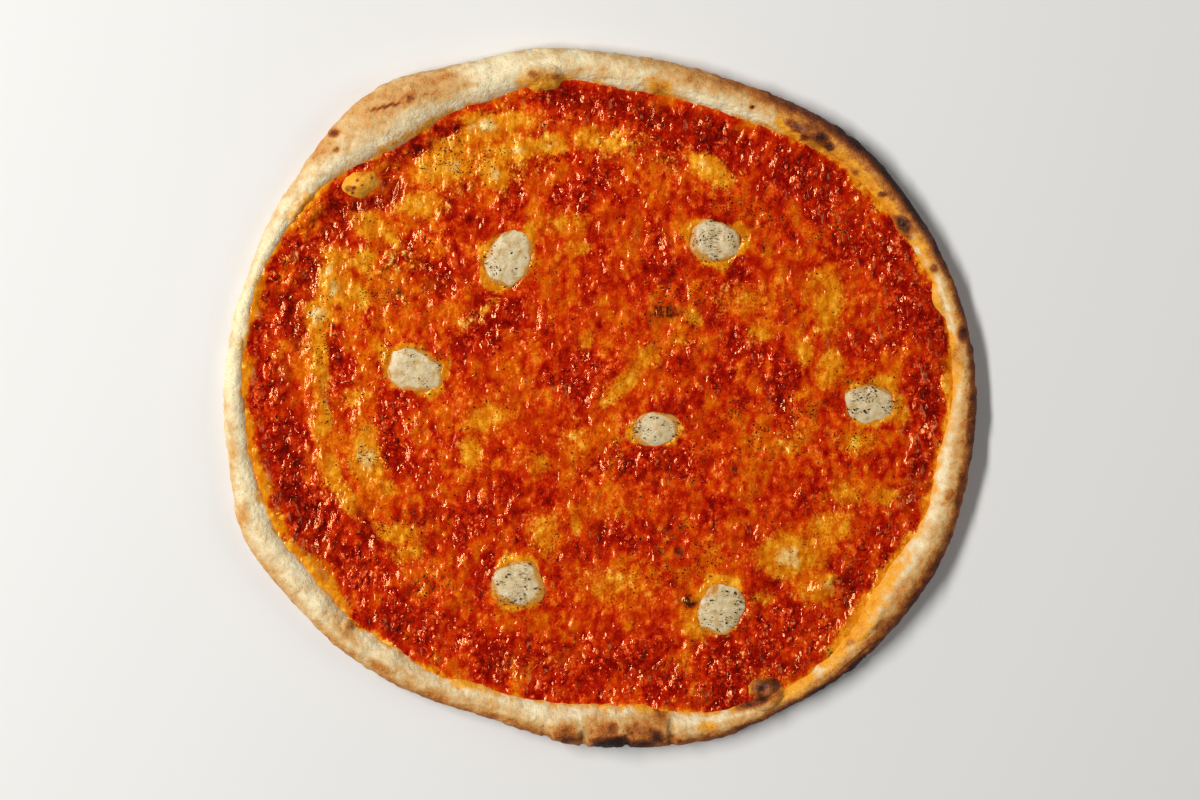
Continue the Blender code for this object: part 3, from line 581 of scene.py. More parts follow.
@dataclass(frozen=True)
class Topping:
    """The fine surface of the two layers, and the masks that their finishes are mixed by.

    The fields hold what has a size, a height or a place of its own. The numbers that stand in the
    formulas only weigh their terms against each other, or say between which values one term fades.
    """

    pie: Pie
    lump_size: float = 3.7
    lump_height: float = 1.3
    lump_seed: int = 73
    lump_warp: float = 1.9
    lump_warp_size: float = 5.0
    lump_warp_seed: int = 71
    lump_squash: float = 0.72
    grain_size: float = 2.0
    grain_height: float = 0.28
    mean_pulp_height: float = 0.55
    blisters: Pebbling = Pebbling(6.0, 76, shift=1.5, shift_size=7.0, squash=0.8)
    blister_height: float = 0.7
    chunks: Pebbling = Pebbling(7.0, 80, shift=2.0, shift_size=8.0, squash=0.7)
    chunk_height: float = 1.1
    freckles: Pebbling = Pebbling(4.4, 82, shift=2.0, shift_size=6.0, squash=0.8)
    fray: tuple[Drift, ...] = (
        Drift(7.0, 26.0, 61), Drift(6.0, 12.0, 62), Drift(4.5, 6.0, 63), Drift(2.5, 3.4, 64),
    )
    ring_fray: tuple[Drift, ...] = (Drift(0.12, 4.0, 65),)
    seat_fray: tuple[Drift, ...] = (Drift(0.14, 6.0, 87), Drift(0.06, 2.6, 88))
    stains: tuple[Drift, ...] = (Drift(0.28, 17.0, 83), Drift(0.3, 8.0, 84, 0.7))
    speckles: tuple[Drift, ...] = (Drift(0.28, 4.2, 85, 0.6), Drift(0.26, 2.3, 86, 0.7))
    seat_rise: float = 0.7
    seat_sink: float = 1.5
    deep_sink: float = 0.5
    fillet: float = 1.56
    fillet_lean: float = 0.00728
    fillet_width: float = 11.0
    fringe_width: float = 5.0
    fringe_fade: float = 7.0
    fringe_wander: float = 9.0
    rust_width: float = 9.0
    layer_step: float = 0.12
    sauce_dive: float = 2.2
    cheese_dive: float = 3.4

    def calm(self, x: Array, y: Array) -> Array:
        """How smooth the cheese is, from 0 to 1."""
        return cover(x, y, SMOOTH_CHEESE, edge=0.5)

    def deep(self, x: Array, y: Array) -> Array:
        """How deep and wet the sauce is, from 0 to 1, with painted shade in the moats and creases."""
        return cover(x, y, DEEP_SAUCE_AND_SHADE, edge=0.5)

    def tomato(self, x: Array, y: Array) -> Array:
        """How much tomato shows, from 0 to 1: the pools and the band, frayed by relief of four sizes.

        Args:
            x, y: The places.

        Returns:
            The share, which is 0 on and close round the mozzarella.
        """
        wander = drift_sum(x, y, self.fray)
        share = smooth_step(15.0, -13.0, self.pie.outside_sauce(x, y) + wander)
        share = share * (1 - 0.8 * self.calm(x, y))
        share = np.maximum(share, (0.8 + 0.02 * wander) * self.deep(x, y))
        ring = self.pie.nearest_mozzarella(x, y) + drift_sum(x, y, self.ring_fray)
        return share * smooth_step(1.0, 1.3, ring)

    def lumps(self, x: Array, y: Array) -> tuple[Array, Array]:
        """The pulp: pebbles of two sizes in warped places, each domed from its middle.

        Args:
            x, y: The places.

        Returns:
            The height of the lumps, and the random value that each of the larger ones keeps.
        """
        warp_x, warp_y = (
            self.lump_warp * uneven(x, y, self.lump_warp_size, self.lump_warp_seed + axis, WIDE_NET)
            for axis in (0, 1)
        )
        warp_x, warp_y = x + warp_x, self.lump_squash * y + warp_y
        near, kind = pebbles(warp_x, warp_y, self.lump_size, self.lump_seed)
        fine_near, _ = pebbles(warp_x + 3.0, warp_y, self.grain_size, self.lump_seed + 1)
        coarse = dome(near, 1.5) * (0.15 + 0.85 * kind)
        return self.lump_height * coarse + self.grain_height * dome(fine_near, 1.3), kind

    def relief(self, x: Array, y: Array, tomato: Array) -> Array:
        """What stands out of the level: pulp and chunks in the sauce, blisters on the cheese, and grain.

        Args:
            x, y: The places.
            tomato: How much tomato shows there, from 0 to 1.

        Returns:
            The height, which is less on smooth cheese and round the mozzarella.
        """
        height, _ = self.lumps(x, y)
        pulp = (0.3 + 0.7 * smooth_step(0.15, 0.7, tomato)) * (height - self.mean_pulp_height)
        near, kind = self.blisters.at(x, y)
        blisters = self.blister_height * dome(near, 1.5) * smooth_step(0.3, 1.0, kind)
        near, kind = self.chunks.at(x, y)
        chunks = self.chunk_height * dome(near, 2.2) * smooth_step(0.2, 0.9, kind)
        relief = pulp + blisters * (1 - tomato) + chunks * smooth_step(0.2, 0.6, tomato)
        relief = relief + 0.14 * fine_uneven(x, y, 2.6, 77)
        seat = smooth_step(1.34, 1.0, self.pie.nearest_mozzarella(x, y))
        relief = relief * (1 - 0.5 * self.calm(x, y)) * (1 - 0.75 * seat)
        return relief + 0.5 * fine_uneven(x, y, 9.0, 78) + soft_dome_sum(x, y, DOUGH_SWELLINGS)

    def surface(self, x: Array, y: Array, tomato: Array) -> Array:
        """The top that both layers share: cheese passing into sauce, with relief on it.

        Args:
            x, y: The places.
            tomato: How much tomato shows there, from 0 to 1.

        Returns:
            The height, which rises to the rim and round each mozzarella, and sinks under both of them.
        """
        inside = self.pie.inside_line(x, y)
        relief = self.relief(x, y, tomato) * (1 - 0.6 * smooth_step(7.0, 2.0, inside))
        level = self.pie.cheese_full_level(x, y) * (1 - tomato) + self.pie.sauce_full_level(x, y) * tomato
        rim = (self.fillet - self.fillet_lean * x) * smooth_step(self.fillet_width, 0.0, inside)
        away = self.pie.nearest_mozzarella(x, y) + drift_sum(x, y, self.seat_fray)
        seat = self.seat_rise * smooth_step(1.34, 1.1, away)
        seat = seat - self.seat_sink * smooth_step(1.04, 0.88, away)
        return level + relief + rim + seat - self.deep_sink * cover(x, y, DEEP_SAUCE_AND_SHADE)

    def layer_top(self, x: Array, y: Array, sign: int, dive: float) -> Array:
        """One layer's surface: the shared top where it shows, sinking away where the other covers it.

        Args:
            x, y: The places.
            sign: 1 for the sauce and -1 for the cheese.
            dive: How far the layer sinks under the other one.

        Returns:
            The height.
        """
        tomato = self.tomato(x, y)
        lead = sign * np.clip((tomato - 0.5) * 2.2, -1.0, 1.0)
        step = self.layer_step * np.clip(4 * lead, -1, 1)
        return self.surface(x, y, tomato) + step - dive * smooth_step(0.25, 1.0, -lead)

    def sauce_top(self, x: Array, y: Array) -> Array:
        """The sauce's surface."""
        return self.layer_top(x, y, 1, self.sauce_dive)

    def cheese_top(self, x: Array, y: Array) -> Array:
        """The cheese's surface."""
        return self.layer_top(x, y, -1, self.cheese_dive)

    def redness(self, x: Array, y: Array, tomato: Array, stain: Array, speckle: Array) -> Array:
        """How red a place is before the fringe and the pale cheese take from it.

        Args:
            x, y: The places.
            tomato: How much tomato shows there.
            stain, speckle: Random relief, wide and fine.

        Returns:
            About 0.3 on cheese and 0.75 on sauce, with darker freckles and lighter bits.
        """
        _, kind = self.lumps(x, y)
        near, spot = self.freckles.at(x, y)
        freckle = smooth_step(0.62, 0.25, near) * smooth_step(0.62, 0.85, spot)
        orange_bit = smooth_step(0.55, 0.2, near) * smooth_step(0.30, 0.10, spot)
        calm = self.calm(x, y)
        red = 0.33 + 0.42 * tomato + 0.1 * calm + (stain + speckle) * (1 - 0.6 * calm)
        red = red + 0.3 * freckle * (1 - calm) - 0.3 * orange_bit * (1 - self.deep(x, y))
        return red + 0.35 * (kind - 0.5) * tomato

    def paleness(self, x: Array, y: Array, tomato: Array, stain: Array, speckle: Array) -> Array:
        """How pale the cheese is inside the fringe: its patches, and a ring round each mozzarella.

        Args:
            x, y: The places.
            tomato: How much tomato shows there.
            stain, speckle: Random relief, wide and fine.

        Returns:
            0 for stained cheese, and more than 1 for the palest.
        """
        broken = np.clip(1.1 + 1.7 * stain + 1.1 * speckle, 0.0, 1.35)
        yellow = cover(x, y, YELLOW_CHEESE, edge=0.9) * broken
        ring = self.pie.nearest_mozzarella(x, y) + 0.9 * stain + 0.3 * speckle
        yellow = np.maximum(yellow, 0.75 * smooth_step(1.3, 1.0, ring))
        return yellow * (1 - 0.7 * smooth_step(0.5, 0.9, tomato))

    def masks(self, x: Array, y: Array) -> dict[str, Array]:
        """What the finishes of both layers are mixed by, each from about 0 to 1.

        Args:
            x, y: The places.

        Returns:
            red: how much tomato there is; yellow: how much pale, unstained cheese; deep: how dark and
                wet the sauce is, and where painted shade lies in the moats and creases; dark: how scorched
                it is;
            crest: how high the place stands on its lump, which the finish turns into painted light and
                shade.
        """
        tomato, deep = self.tomato(x, y), self.deep(x, y)
        stain, speckle = drift_sum(x, y, self.stains), drift_sum(x, y, self.speckles)
        inside = self.pie.inside_line(x, y) + self.fringe_wander * stain
        width = self.fringe_width + swell_sum(bearing_of(x, y), FRINGE_SWELLS)
        fringe = smooth_step(width, width - self.fringe_fade, inside + 3.0 * speckle)
        rust = smooth_step(width + self.rust_width, width, inside)
        yellow = np.maximum(self.paleness(x, y, tomato, stain, speckle), 0.85 * fringe) * (1 - 0.85 * deep)
        red = self.redness(x, y, tomato, stain, speckle) - (0.25 * fringe + 0.22 * rust) * (1 - deep)
        scorched = cover(x, y, DARK_SPOTS, edge=0.7) * np.clip(0.8 + 1.6 * speckle, 0.0, 1.0)
        height, _ = self.lumps(x, y)
        return {
            "red": np.clip(red - 0.38 * yellow, 0.0, 1.2),
            "yellow": np.clip(yellow, 0.0, 1.4),
            # Deep sauce, and painted shade in the moats and creases.
            "deep": deep * np.clip(0.8 + 0.9 * speckle, 0.0, 1.0),
            "dark": scorched,
            "crest": np.clip(height / (self.lump_height + self.grain_height), 0.0, 1.0),
        }


# ---------------------------------------------------------------------------------------------------
# Shaders
# ---------------------------------------------------------------------------------------------------


@dataclass(frozen=True)
class Number:
    """A number that changes over a surface: a socket of a recipe's nodes, with arithmetic on it."""

    recipe: "Recipe"
    socket: Socket

    def __add__(self, other: "Number | float") -> "Number":
        """self + other."""
        return self.recipe.maths("ADD", self, other)

    def __sub__(self, other: "Number | float") -> "Number":
        """self - other."""
        return self.recipe.maths("SUBTRACT", self, other)

    def __rsub__(self, other: float) -> "Number":
        """other - self."""
        return self.recipe.maths("SUBTRACT", other, self)

    def __mul__(self, other: "Number | float") -> "Number":
        """self * other."""
        return self.recipe.maths("MULTIPLY", self, other)

    __radd__ = __add__
    __rmul__ = __mul__

    def most(self, other: "Number | float") -> "Number":
        """The larger of the two."""
        return self.recipe.maths("MAXIMUM", self, other)

    def step(self, low: float, high: float) -> "Number":
        """An S-curve from 0 at low to 1 at high, and flat outside them."""
        values = {"Value": self, "From Min": low, "From Max": high}
        node = self.recipe.node("ShaderNodeMapRange", {"interpolation_type": "SMOOTHSTEP"}, values)
        return Number(self.recipe, node.outputs[0])


@dataclass(frozen=True)
class Stage:
    """A colour that a ramp reaches while its mask rises from low to high."""

    low: float
    high: float
    colour: Colour


class Recipe:
    """One material in the making: its node tree, and the steps that the finishes are written in."""

    def __init__(self, name: str) -> None:
        """Starts the material of that name, with one Principled shader."""
        self.material = bpy.data.materials.new(name)
        self.material.use_nodes = True
        self.tree = self.material.node_tree
        self.shader = self.tree.nodes["Principled BSDF"]
        self.place = self.node("ShaderNodeTexCoord").outputs["Object"]

    def node(self, kind: str, settings: dict | None = None, values: dict | None = None) -> bpy.types.Node:
        """Adds a node.

        Args:
            kind: Blender's name for the node's type.
            settings: The node's own properties, set before its sockets.
            values: What each socket takes, by its name or identifier: a number, a socket or a Number.

        Returns:
            The node.
        """
        made = self.tree.nodes.new(kind)
        for name, setting in (settings or {}).items():
            setattr(made, name, setting)
        for name, value in (values or {}).items():
            socket = next(s for s in made.inputs if name in (s.identifier, s.name) and s.enabled)
            self.feed(socket, value)
        return made

    def feed(self, socket: Socket, value: object) -> None:
        """Links a socket to a Number or to another socket, or sets it."""
        if isinstance(value, Number):
            value = value.socket
        if isinstance(value, Socket):
            self.tree.links.new(value, socket)
        else:
            socket.default_value = value

    def maths(self, operation: str, first: Number | float, second: Number | float) -> Number:
        """The result of one Math node."""
        values = {"Value": first, "Value_001": second}
        return Number(self, self.node("ShaderNodeMath", {"operation": operation}, values).outputs[0])

    def mask(self, name: str) -> Number:
        """The mask of that name that the mesh carries."""
        node = self.node("ShaderNodeAttribute", {"attribute_name": name, "attribute_type": "GEOMETRY"})
        return Number(self, node.outputs["Fac"])

    def noise(self, size: float, detail: float = 2.0, stretch: Triple = (1, 1, 1)) -> Number:
        """Random relief from 0 to 1, about 0.5.

        Args:
            size: How wide a bump is, in millimetres.
            detail: How many finer sizes are added.
            stretch: How the places are scaled first, so that bumps are longer where it is under 1.

        Returns:
            The relief.
        """
        scaled = self.node("ShaderNodeMapping", None, {"Vector": self.place, "Scale": stretch})
        values = {"Vector": scaled.outputs[0], "Scale": 1.0 / (size * MM), "Detail": detail}
        return Number(self, self.node("ShaderNodeTexNoise", None, values).outputs[0])

    def grains(self, size: float) -> Number:
        """The distance to the nearest of scattered points a size apart, in sizes."""
        values = {"Vector": self.place, "Scale": 1.0 / (size * MM)}
        return Number(self, self.node("ShaderNodeTexVoronoi", None, values).outputs["Distance"])

    def blend(self, factor: Number, first: Colour | Socket, second: Colour | Socket) -> Socket:
        """The first colour where the factor is 0, the second where it is 1.

        Args:
            factor: The mask.
            first, second: The colours.

        Returns:
            The mixed colour.
        """
        values = {"Factor_Float": factor, "A_Color": first, "B_Color": second}
        settings = {"data_type": "RGBA", "clamp_factor": True}
        node = self.node("ShaderNodeMix", settings, values)
        return next(out for out in node.outputs if out.identifier == "Result_Color")

    def ramp(self, mask: Number, start: Colour | Socket, stages: tuple[Stage, ...]) -> Socket:
        """The start colour, which passes through the stages one after the other as the mask rises.

        Args:
            mask: What the stages' limits are read on.
            start: The colour below all of them.
            stages: The colours, in order.

        Returns:
            The mixed colour.
        """
        colour = start
        for stage in stages:
            colour = self.blend(mask.step(stage.low, stage.high), colour, stage.colour)
        return colour

    def tint(self, strength: Number, colour: Socket) -> Socket:
        """The colour, made lighter or darker by the strength, which is about 1."""
        values = {"Vector": colour, "Scale": strength}
        return self.node("ShaderNodeVectorMath", {"operation": "SCALE"}, values).outputs[0]

    def deepen(self, power: Number, colour: Socket) -> Socket:
        """The colour, each channel raised to the power: darker and purer over 1, paler under it."""
        return self.node("ShaderNodeGamma", None, {"Color": colour, "Gamma": power}).outputs[0]

    def bump(self, height: Number, depth: float, below: Socket | None = None) -> Socket:
        """The normal that a relief gives.

        Args:
            height: The relief, from 0 to 1.
            depth: How deep it is, in millimetres.
            below: The normal of a coarser relief that this one lies on.

        Returns:
            The normal.
        """
        values = {"Height": height, "Distance": depth * MM, "Strength": 1.0}
        if below is not None:
            values["Normal"] = below
        return self.node("ShaderNodeBump", None, values).outputs[0]

    def finish(self, colour: Socket, roughness: object, normal: Socket, fixed: dict) -> bpy.types.Material:
        """Feeds the shader and ends the material.

        Args:
            colour, roughness, normal: What the shader's sockets of those names take.
            fixed: The shader's constants, by socket name.

        Returns:
            The material.
        """
        self.feed(self.shader.inputs["Base Color"], colour)
        self.feed(self.shader.inputs["Roughness"], roughness)
        self.feed(self.shader.inputs["Normal"], normal)
        for name, value in fixed.items():
            self.shader.inputs[name].default_value = value
        return self.material


@dataclass(frozen=True)
class ToppingFinish:
    """Sauce or melted cheese: oily orange between pale yellow and deep tomato red.

    The stained oil works as a filter: where it lies thick the colour is raised to a power over 1, which
    turns it dark and red, and where it lies thin it turns light and pale. The power also carries painted
    shade and light: it is raised in the hollows between the lumps and lowered on their crests, and the
    colour is then painted lighter on the crests and darker in the hollows.
    """

    name: str
    gloss: float
    gold: Colour = screen(241, 118, 6)
    orange: Colour = screen(231, 80, 4)
    vermilion: Colour = screen(214, 48, 2)
    red: Colour = screen(184, 22, 1)
    # The dark red of deep sauce, also used as painted shade in the moats, creases and hollows.
    deep: Colour = screen(148, 10, 1)
    yellow: Colour = screen(250, 159, 28)
    cream: Colour = screen(251, 216, 140)
    scorched: Colour = screen(58, 24, 9)
    glint: Colour = screen(255, 196, 132)
    stained: tuple[Stage, ...] = (
        Stage(0.0, 0.35, orange), Stage(0.3, 0.65, vermilion), Stage(0.6, 0.95, red),
    )
    pale: tuple[Stage, ...] = (Stage(0.1, 0.75, yellow), Stage(0.9, 1.5, cream))
    oil: float = 1.46
    least_oil: float = 0.35
    lightness: float = 0.63
    specular: float = 0.7
    pulp_depth: float = 0.12
    ripple_depth: float = 1.0

    def make(self) -> bpy.types.Material:
        """Mixes the masks of the mesh with random relief of three sizes.

        Returns:
            The material. Its colour is deepened by how thick the oil lies and by painted shade in the
            hollows, then painted lighter on the crests and darker in the hollows, and both go less far on
            cheese than on sauce.
        """
        mix = Recipe(self.name)
        fine = mix.noise(1.0, detail=3.0, stretch=(1.0, 0.7, 1.0)) - 0.5
        broad = mix.noise(3.4, detail=2.0, stretch=(1.0, 0.75, 1.0)) - 0.5
        wide = mix.noise(11.0, detail=2.0, stretch=(1.0, 0.6, 1.0)) - 0.5
        crest, red, yellow = mix.mask("crest"), mix.mask("red"), mix.mask("yellow")
        colour = mix.ramp(red + fine * 0.6 + broad * 0.5, self.gold, self.stained)
        colour = mix.ramp(yellow + fine * 0.4 + broad * 0.6, colour, self.pale)
        # Deep sauce and painted shade: the dark red is half as strong on the crests, so the hollows are
        # painted darker.
        colour = mix.blend(mix.mask("deep") * (1 - crest * 0.5), colour, self.deep)
        grain = fine * (1 - yellow.step(0.1, 0.9) * 0.55)
        contrast = 0.64 + red * 0.46
        # Painted shade and light: the crest term counts the hollows as thick oil, darker and redder, and
        # the crests as thin, lighter and paler; the rest is oil and random tone.
        oil_and_shade = self.oil + red * 0.2 - (crest + grain * 2.3 + broad * 1.3) * contrast - wide * 0.7
        colour = mix.deepen(oil_and_shade.most(self.least_oil), colour)
        scorch = (mix.mask("dark") + fine * 1.8 + broad * 0.6).step(0.3, 1.05)
        colour = mix.blend(scorch, colour, self.scorched)
        # Painted light and shade: the colour is scaled up on the crests and down in the hollows, with
        # random tone besides.
        light = self.lightness - red * 0.04 + (crest * 0.42 + grain * 0.85 + broad * 0.6) * contrast
        pulp = mix.bump(mix.noise(1.1, detail=1.0, stretch=(1.0, 0.8, 1.0)), self.pulp_depth)
        normal = mix.bump(mix.noise(3.2, detail=1.0, stretch=(1.0, 0.5, 1.0)), self.ripple_depth, pulp)
        fixed = {"Specular IOR Level": self.specular, "Specular Tint": self.glint}
        return mix.finish(mix.tint(light + wide * 0.5, colour), self.gloss + broad * 0.2, normal, fixed)


@dataclass(frozen=True)
class DoughFinish:
    """Baked dough: dry and floury, from cream over gold and brown to char, with oil stains."""

    name: str = "baked_dough"
    flour: Colour = screen(246, 228, 184)
    cream: Colour = screen(228, 198, 146)
    tan: Colour = screen(212, 158, 88)
    gold: Colour = screen(186, 108, 36)
    brown: Colour = screen(122, 54, 16)
    char: Colour = screen(44, 22, 12)
    oil: Colour = screen(242, 164, 30)
    stain: Colour = screen(214, 98, 8)
    under_oil: tuple[Stage, ...] = (Stage(0.0, 0.22, cream), Stage(0.16, 0.42, tan))
    over_oil: tuple[Stage, ...] = (
        Stage(0.4, 0.64, gold), Stage(0.58, 0.9, brown), Stage(0.84, 1.15, char),
    )
    dry: float = 0.7
    lightness: float = 0.95
    flour_depth: float = 0.3
    crumb_depth: float = 0.9

    def make(self) -> bpy.types.Material:
        """Mixes the masks of the mesh, freckled by fine random relief.

        Returns:
            The material, where oil soaks pale dough and is baked over by the browner tones.
        """
        mix = Recipe(self.name)
        fine = mix.noise(0.9, detail=3.0) - 0.5
        broad = mix.noise(5.0, detail=3.0) - 0.5
        pores = mix.grains(2.2).step(0.3, 0.08)
        bake = mix.mask("bake") + fine * 0.75 + broad * 0.45 + pores * broad.step(-0.1, 0.15) * 0.22
        oil = mix.mask("oil")
        greasy = mix.blend((oil + broad * 0.9 + fine * 0.6).step(0.9, 1.6), self.oil, self.stain)
        soaked = (oil + fine * 0.5 + broad * 0.8).step(0.15, 0.75) * 0.95
        colour = mix.blend(soaked, mix.ramp(bake, self.flour, self.under_oil), greasy)
        colour = mix.ramp(bake, colour, self.over_oil)
        light = self.lightness + fine + (mix.noise(0.5, detail=1.0) - 0.5) * 0.5
        flour = mix.bump(mix.noise(0.7, detail=2.0), self.flour_depth)
        normal = mix.bump(mix.noise(2.6, detail=3.0), self.crumb_depth, flour)
        fixed = {
            "Subsurface Weight": 0.08,
            "Subsurface Radius": (1.0, 0.6, 0.3),
            "Subsurface Scale": 2.0 * MM,
            "Specular IOR Level": 0.25,
        }
        return mix.finish(mix.tint(light, colour), self.dry - oil.step(0.3, 1.0) * 0.35, normal, fixed)


@dataclass(frozen=True)
class MozzarellaFinish:
    """Fresh mozzarella: milky white, moist, with a yellow melted hem."""

    name: str = "fresh_mozzarella"
    milk: Colour = screen(252, 228, 180)
    curd: Colour = screen(222, 182, 112)
    melted: Colour = screen(230, 158, 60)
    gloss: float = 0.4
    lightness: float = 0.7
    pore_depth: float = 0.15
    curd_depth: float = 0.4

    def make(self) -> bpy.types.Material:
        """Mixes the hem's mask with fine random relief.

        Returns:
            The material.
        """
        mix = Recipe(self.name)
        fine = mix.noise(1.3, detail=3.0) - 0.5
        broad = mix.noise(5.0, detail=2.0)
        melting = mix.mask("hem") + fine * 0.8 + (broad - 0.5) * 0.8
        colour = mix.blend((broad + fine * 0.8).step(0.4, 0.76), self.milk, self.curd)
        colour = mix.blend(melting.step(0.1, 0.9), colour, self.melted)
        pores = mix.bump(mix.noise(0.7, detail=2.0), self.pore_depth)
        normal = mix.bump(mix.noise(2.6, detail=2.0), self.curd_depth, pores)
        fixed = {
            "Subsurface Weight": 0.2,
            "Subsurface Radius": (1.0, 0.8, 0.5),
            "Subsurface Scale": 3.0 * MM,
            "Specular IOR Level": 0.4,
        }
        return mix.finish(mix.tint(self.lightness + fine * 0.6, colour), self.gloss, normal, fixed)


@dataclass(frozen=True)
class FleckFinish:
    """Dried herb or ground pepper: dark and dull, with a second colour that fine relief brings in."""

    name: str
    first: Colour
    second: Colour
    roughness: float = 0.8
    bump_depth: float = 0.08

    def make(self) -> bpy.types.Material:
        """Mixes the two colours."""
        mix = Recipe(self.name)
        colour = mix.blend(mix.noise(1.8, detail=1.0).step(0.4, 0.6), self.first, self.second)
        normal = mix.bump(mix.noise(0.4, detail=1.0), self.bump_depth)
        return mix.finish(colour, self.roughness, normal, {"Specular IOR Level": 0.1})


# ---------------------------------------------------------------------------------------------------
# Meshes
# ---------------------------------------------------------------------------------------------------


@dataclass
class Skin:
    """A finished surface: its points in millimetres, its faces and the masks that its finish reads."""

    name: str
    points: Array
    faces: list[Array]
    masks: dict[str, Array] = field(default_factory=dict)

    def put(self, look: bpy.types.Material, slot: Slot | None, replaced: list[str]) -> bpy.types.Object:
        """Makes the mesh and its object, which rides on the pizza.

        Args:
            look: The material.
            slot: The record's finish for the piece; it is not used.
            replaced: The solids that the piece stands for.

        Returns:
            The object.
        """
        mesh = bpy.data.meshes.new(self.name)
        mesh.vertices.add(len(self.points))
        mesh.vertices.foreach_set("co", (self.points * MM).astype(np.float32).ravel())
        corners = np.concatenate([block.ravel() for block in self.faces]).astype(np.int32)
        sizes = np.concatenate([np.full(len(block), block.shape[1]) for block in self.faces])
        mesh.loops.add(len(corners))
        mesh.loops.foreach_set("vertex_index", corners)
        mesh.polygons.add(len(sizes))
        mesh.polygons.foreach_set("loop_start", (np.cumsum(sizes) - sizes).astype(np.int32))
        for name, values in self.masks.items():
            layer = mesh.attributes.new(name, "FLOAT", "POINT")
            layer.data.foreach_set("value", np.asarray(values, np.float32).ravel())
        mesh.update(calc_edges=True)
        mesh.validate()
        mesh.shade_smooth()
        mesh.materials.append(look)
        piece = bpy.data.objects.new(self.name, mesh)
        bpy.context.scene.collection.objects.link(piece)
        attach(piece, "root")
        if replaced:
            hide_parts(*replaced)
        triangles = int((sizes - 2).sum())
        LOG.info("%s: %d triangles", self.name, triangles)
        return piece


def ring_faces(rings: int, around: int) -> Array:
    """The quads between closed rings of points that lie one after the other, outward if rings rise.

    Args:
        rings: The number of rings.
        around: The number of points a ring.

    Returns:
        Four point numbers a face.
    """
    ring, step = np.meshgrid(np.arange(rings - 1), np.arange(around), indexing="ij")
    after = (step + 1) % around
    low, high = ring * around, (ring + 1) * around
    return np.stack([low + step, low + after, high + after, high + step], axis=-1).reshape(-1, 4)


def fan_faces(start: int, around: int, tip: int, facing_up: bool) -> Array:
    """The triangles between one ring of points and a single point.

    Args:
        start: The number of the ring's first point.
        around: The number of points in the ring.
        tip: The number of the single point.
        facing_up: Whether the faces look up.

    Returns:
        Three point numbers a face.
    """
    step = np.arange(around)
    first, second = start + step, start + (step + 1) % around
    columns = [first, second, np.full(around, tip)]
    return np.stack(columns if facing_up else columns[::-1], axis=1)


def closed_faces(rings: int, around: int) -> list[Array]:
    """The faces of rings of points from a top pole to a bottom one, where the two poles come last.

    Args:
        rings: The number of rings.
        around: The number of points a ring.

    Returns:
        The quads, the triangles at the top and those at the bottom.
    """
    count = rings * around
    return [
        ring_faces(rings, around)[:, ::-1],
        fan_faces(0, around, count, facing_up=True),
        fan_faces(count - around, around, count + 1, facing_up=False),
    ]


def ball(bands: int, around: int) -> tuple[Array, Array, Array]:
    """Rings of points on a ball of radius 1, from its top down and without its poles.

    Args:
        bands: The number of rings, which are equally far apart as seen from the middle.
        around: The number of points a ring.

    Returns:
        x = sin(tilt) cos(turn), y = sin(tilt) sin(turn) and z = cos(tilt), each with a row a ring.
    """
    tilt = np.linspace(0.0, math.pi, bands + 2)[1:-1, None]
    turn = np.linspace(0.0, 2 * math.pi, around, endpoint=False)[None, :]
    return np.sin(tilt) * np.cos(turn), np.sin(tilt) * np.sin(turn), np.cos(tilt) + 0 * turn


def quarter_turn(steps: int) -> Array:
    """The angles from 0 to 90 degrees in equal steps, in radians."""
    return np.radians(np.linspace(0, 90, steps + 1))


# ---------------------------------------------------------------------------------------------------
# The crust, and what lies where on its rim, read in the photo and given in real sizes
# ---------------------------------------------------------------------------------------------------

CRUST_BLISTERS = (
    Patch(-138, 129, 27, 19, 15, 14.6), Patch(-33, 188, 26, 17, 0, 15.6),
    Patch(33, 185, 17, 12, 0, 13.2), Patch(121, 156, 28, 13, -35, 14.6),
    Patch(174, 105, 19, 11, -58, 13.0), Patch(97, -168, 25, 17, 15, 14.2),
    Patch(156, -131, 34, 13, 45, 13.2), Patch(12, -184, 84, 17, 2, 12.8),
    Patch(177, -101, 38, 16, 58, 12.6), Patch(-146, -130, 7, 6, 0, 12.0),
    Patch(-74, -168, 56, 13, -17, 12.2), Patch(196, 62, 26, 10, 106, 11.8),
    Patch(-204, 44, 40, 9, 80, 11.6), Patch(-196, -58, 44, 10, 112, 11.6),
)
BAKE_SWELLS = (
    Swell(42, 20, 0.48), Swell(5, 16, 0.18), Swell(345, 16, 0.14), Swell(312, 20, 0.36),
    Swell(268, 20, 0.13), Swell(235, 20, 0.12), Swell(128, 12, 0.08), Swell(200, 8, 0.05),
    Swell(105, 14, -0.09), Swell(180, 22, -0.09),
)
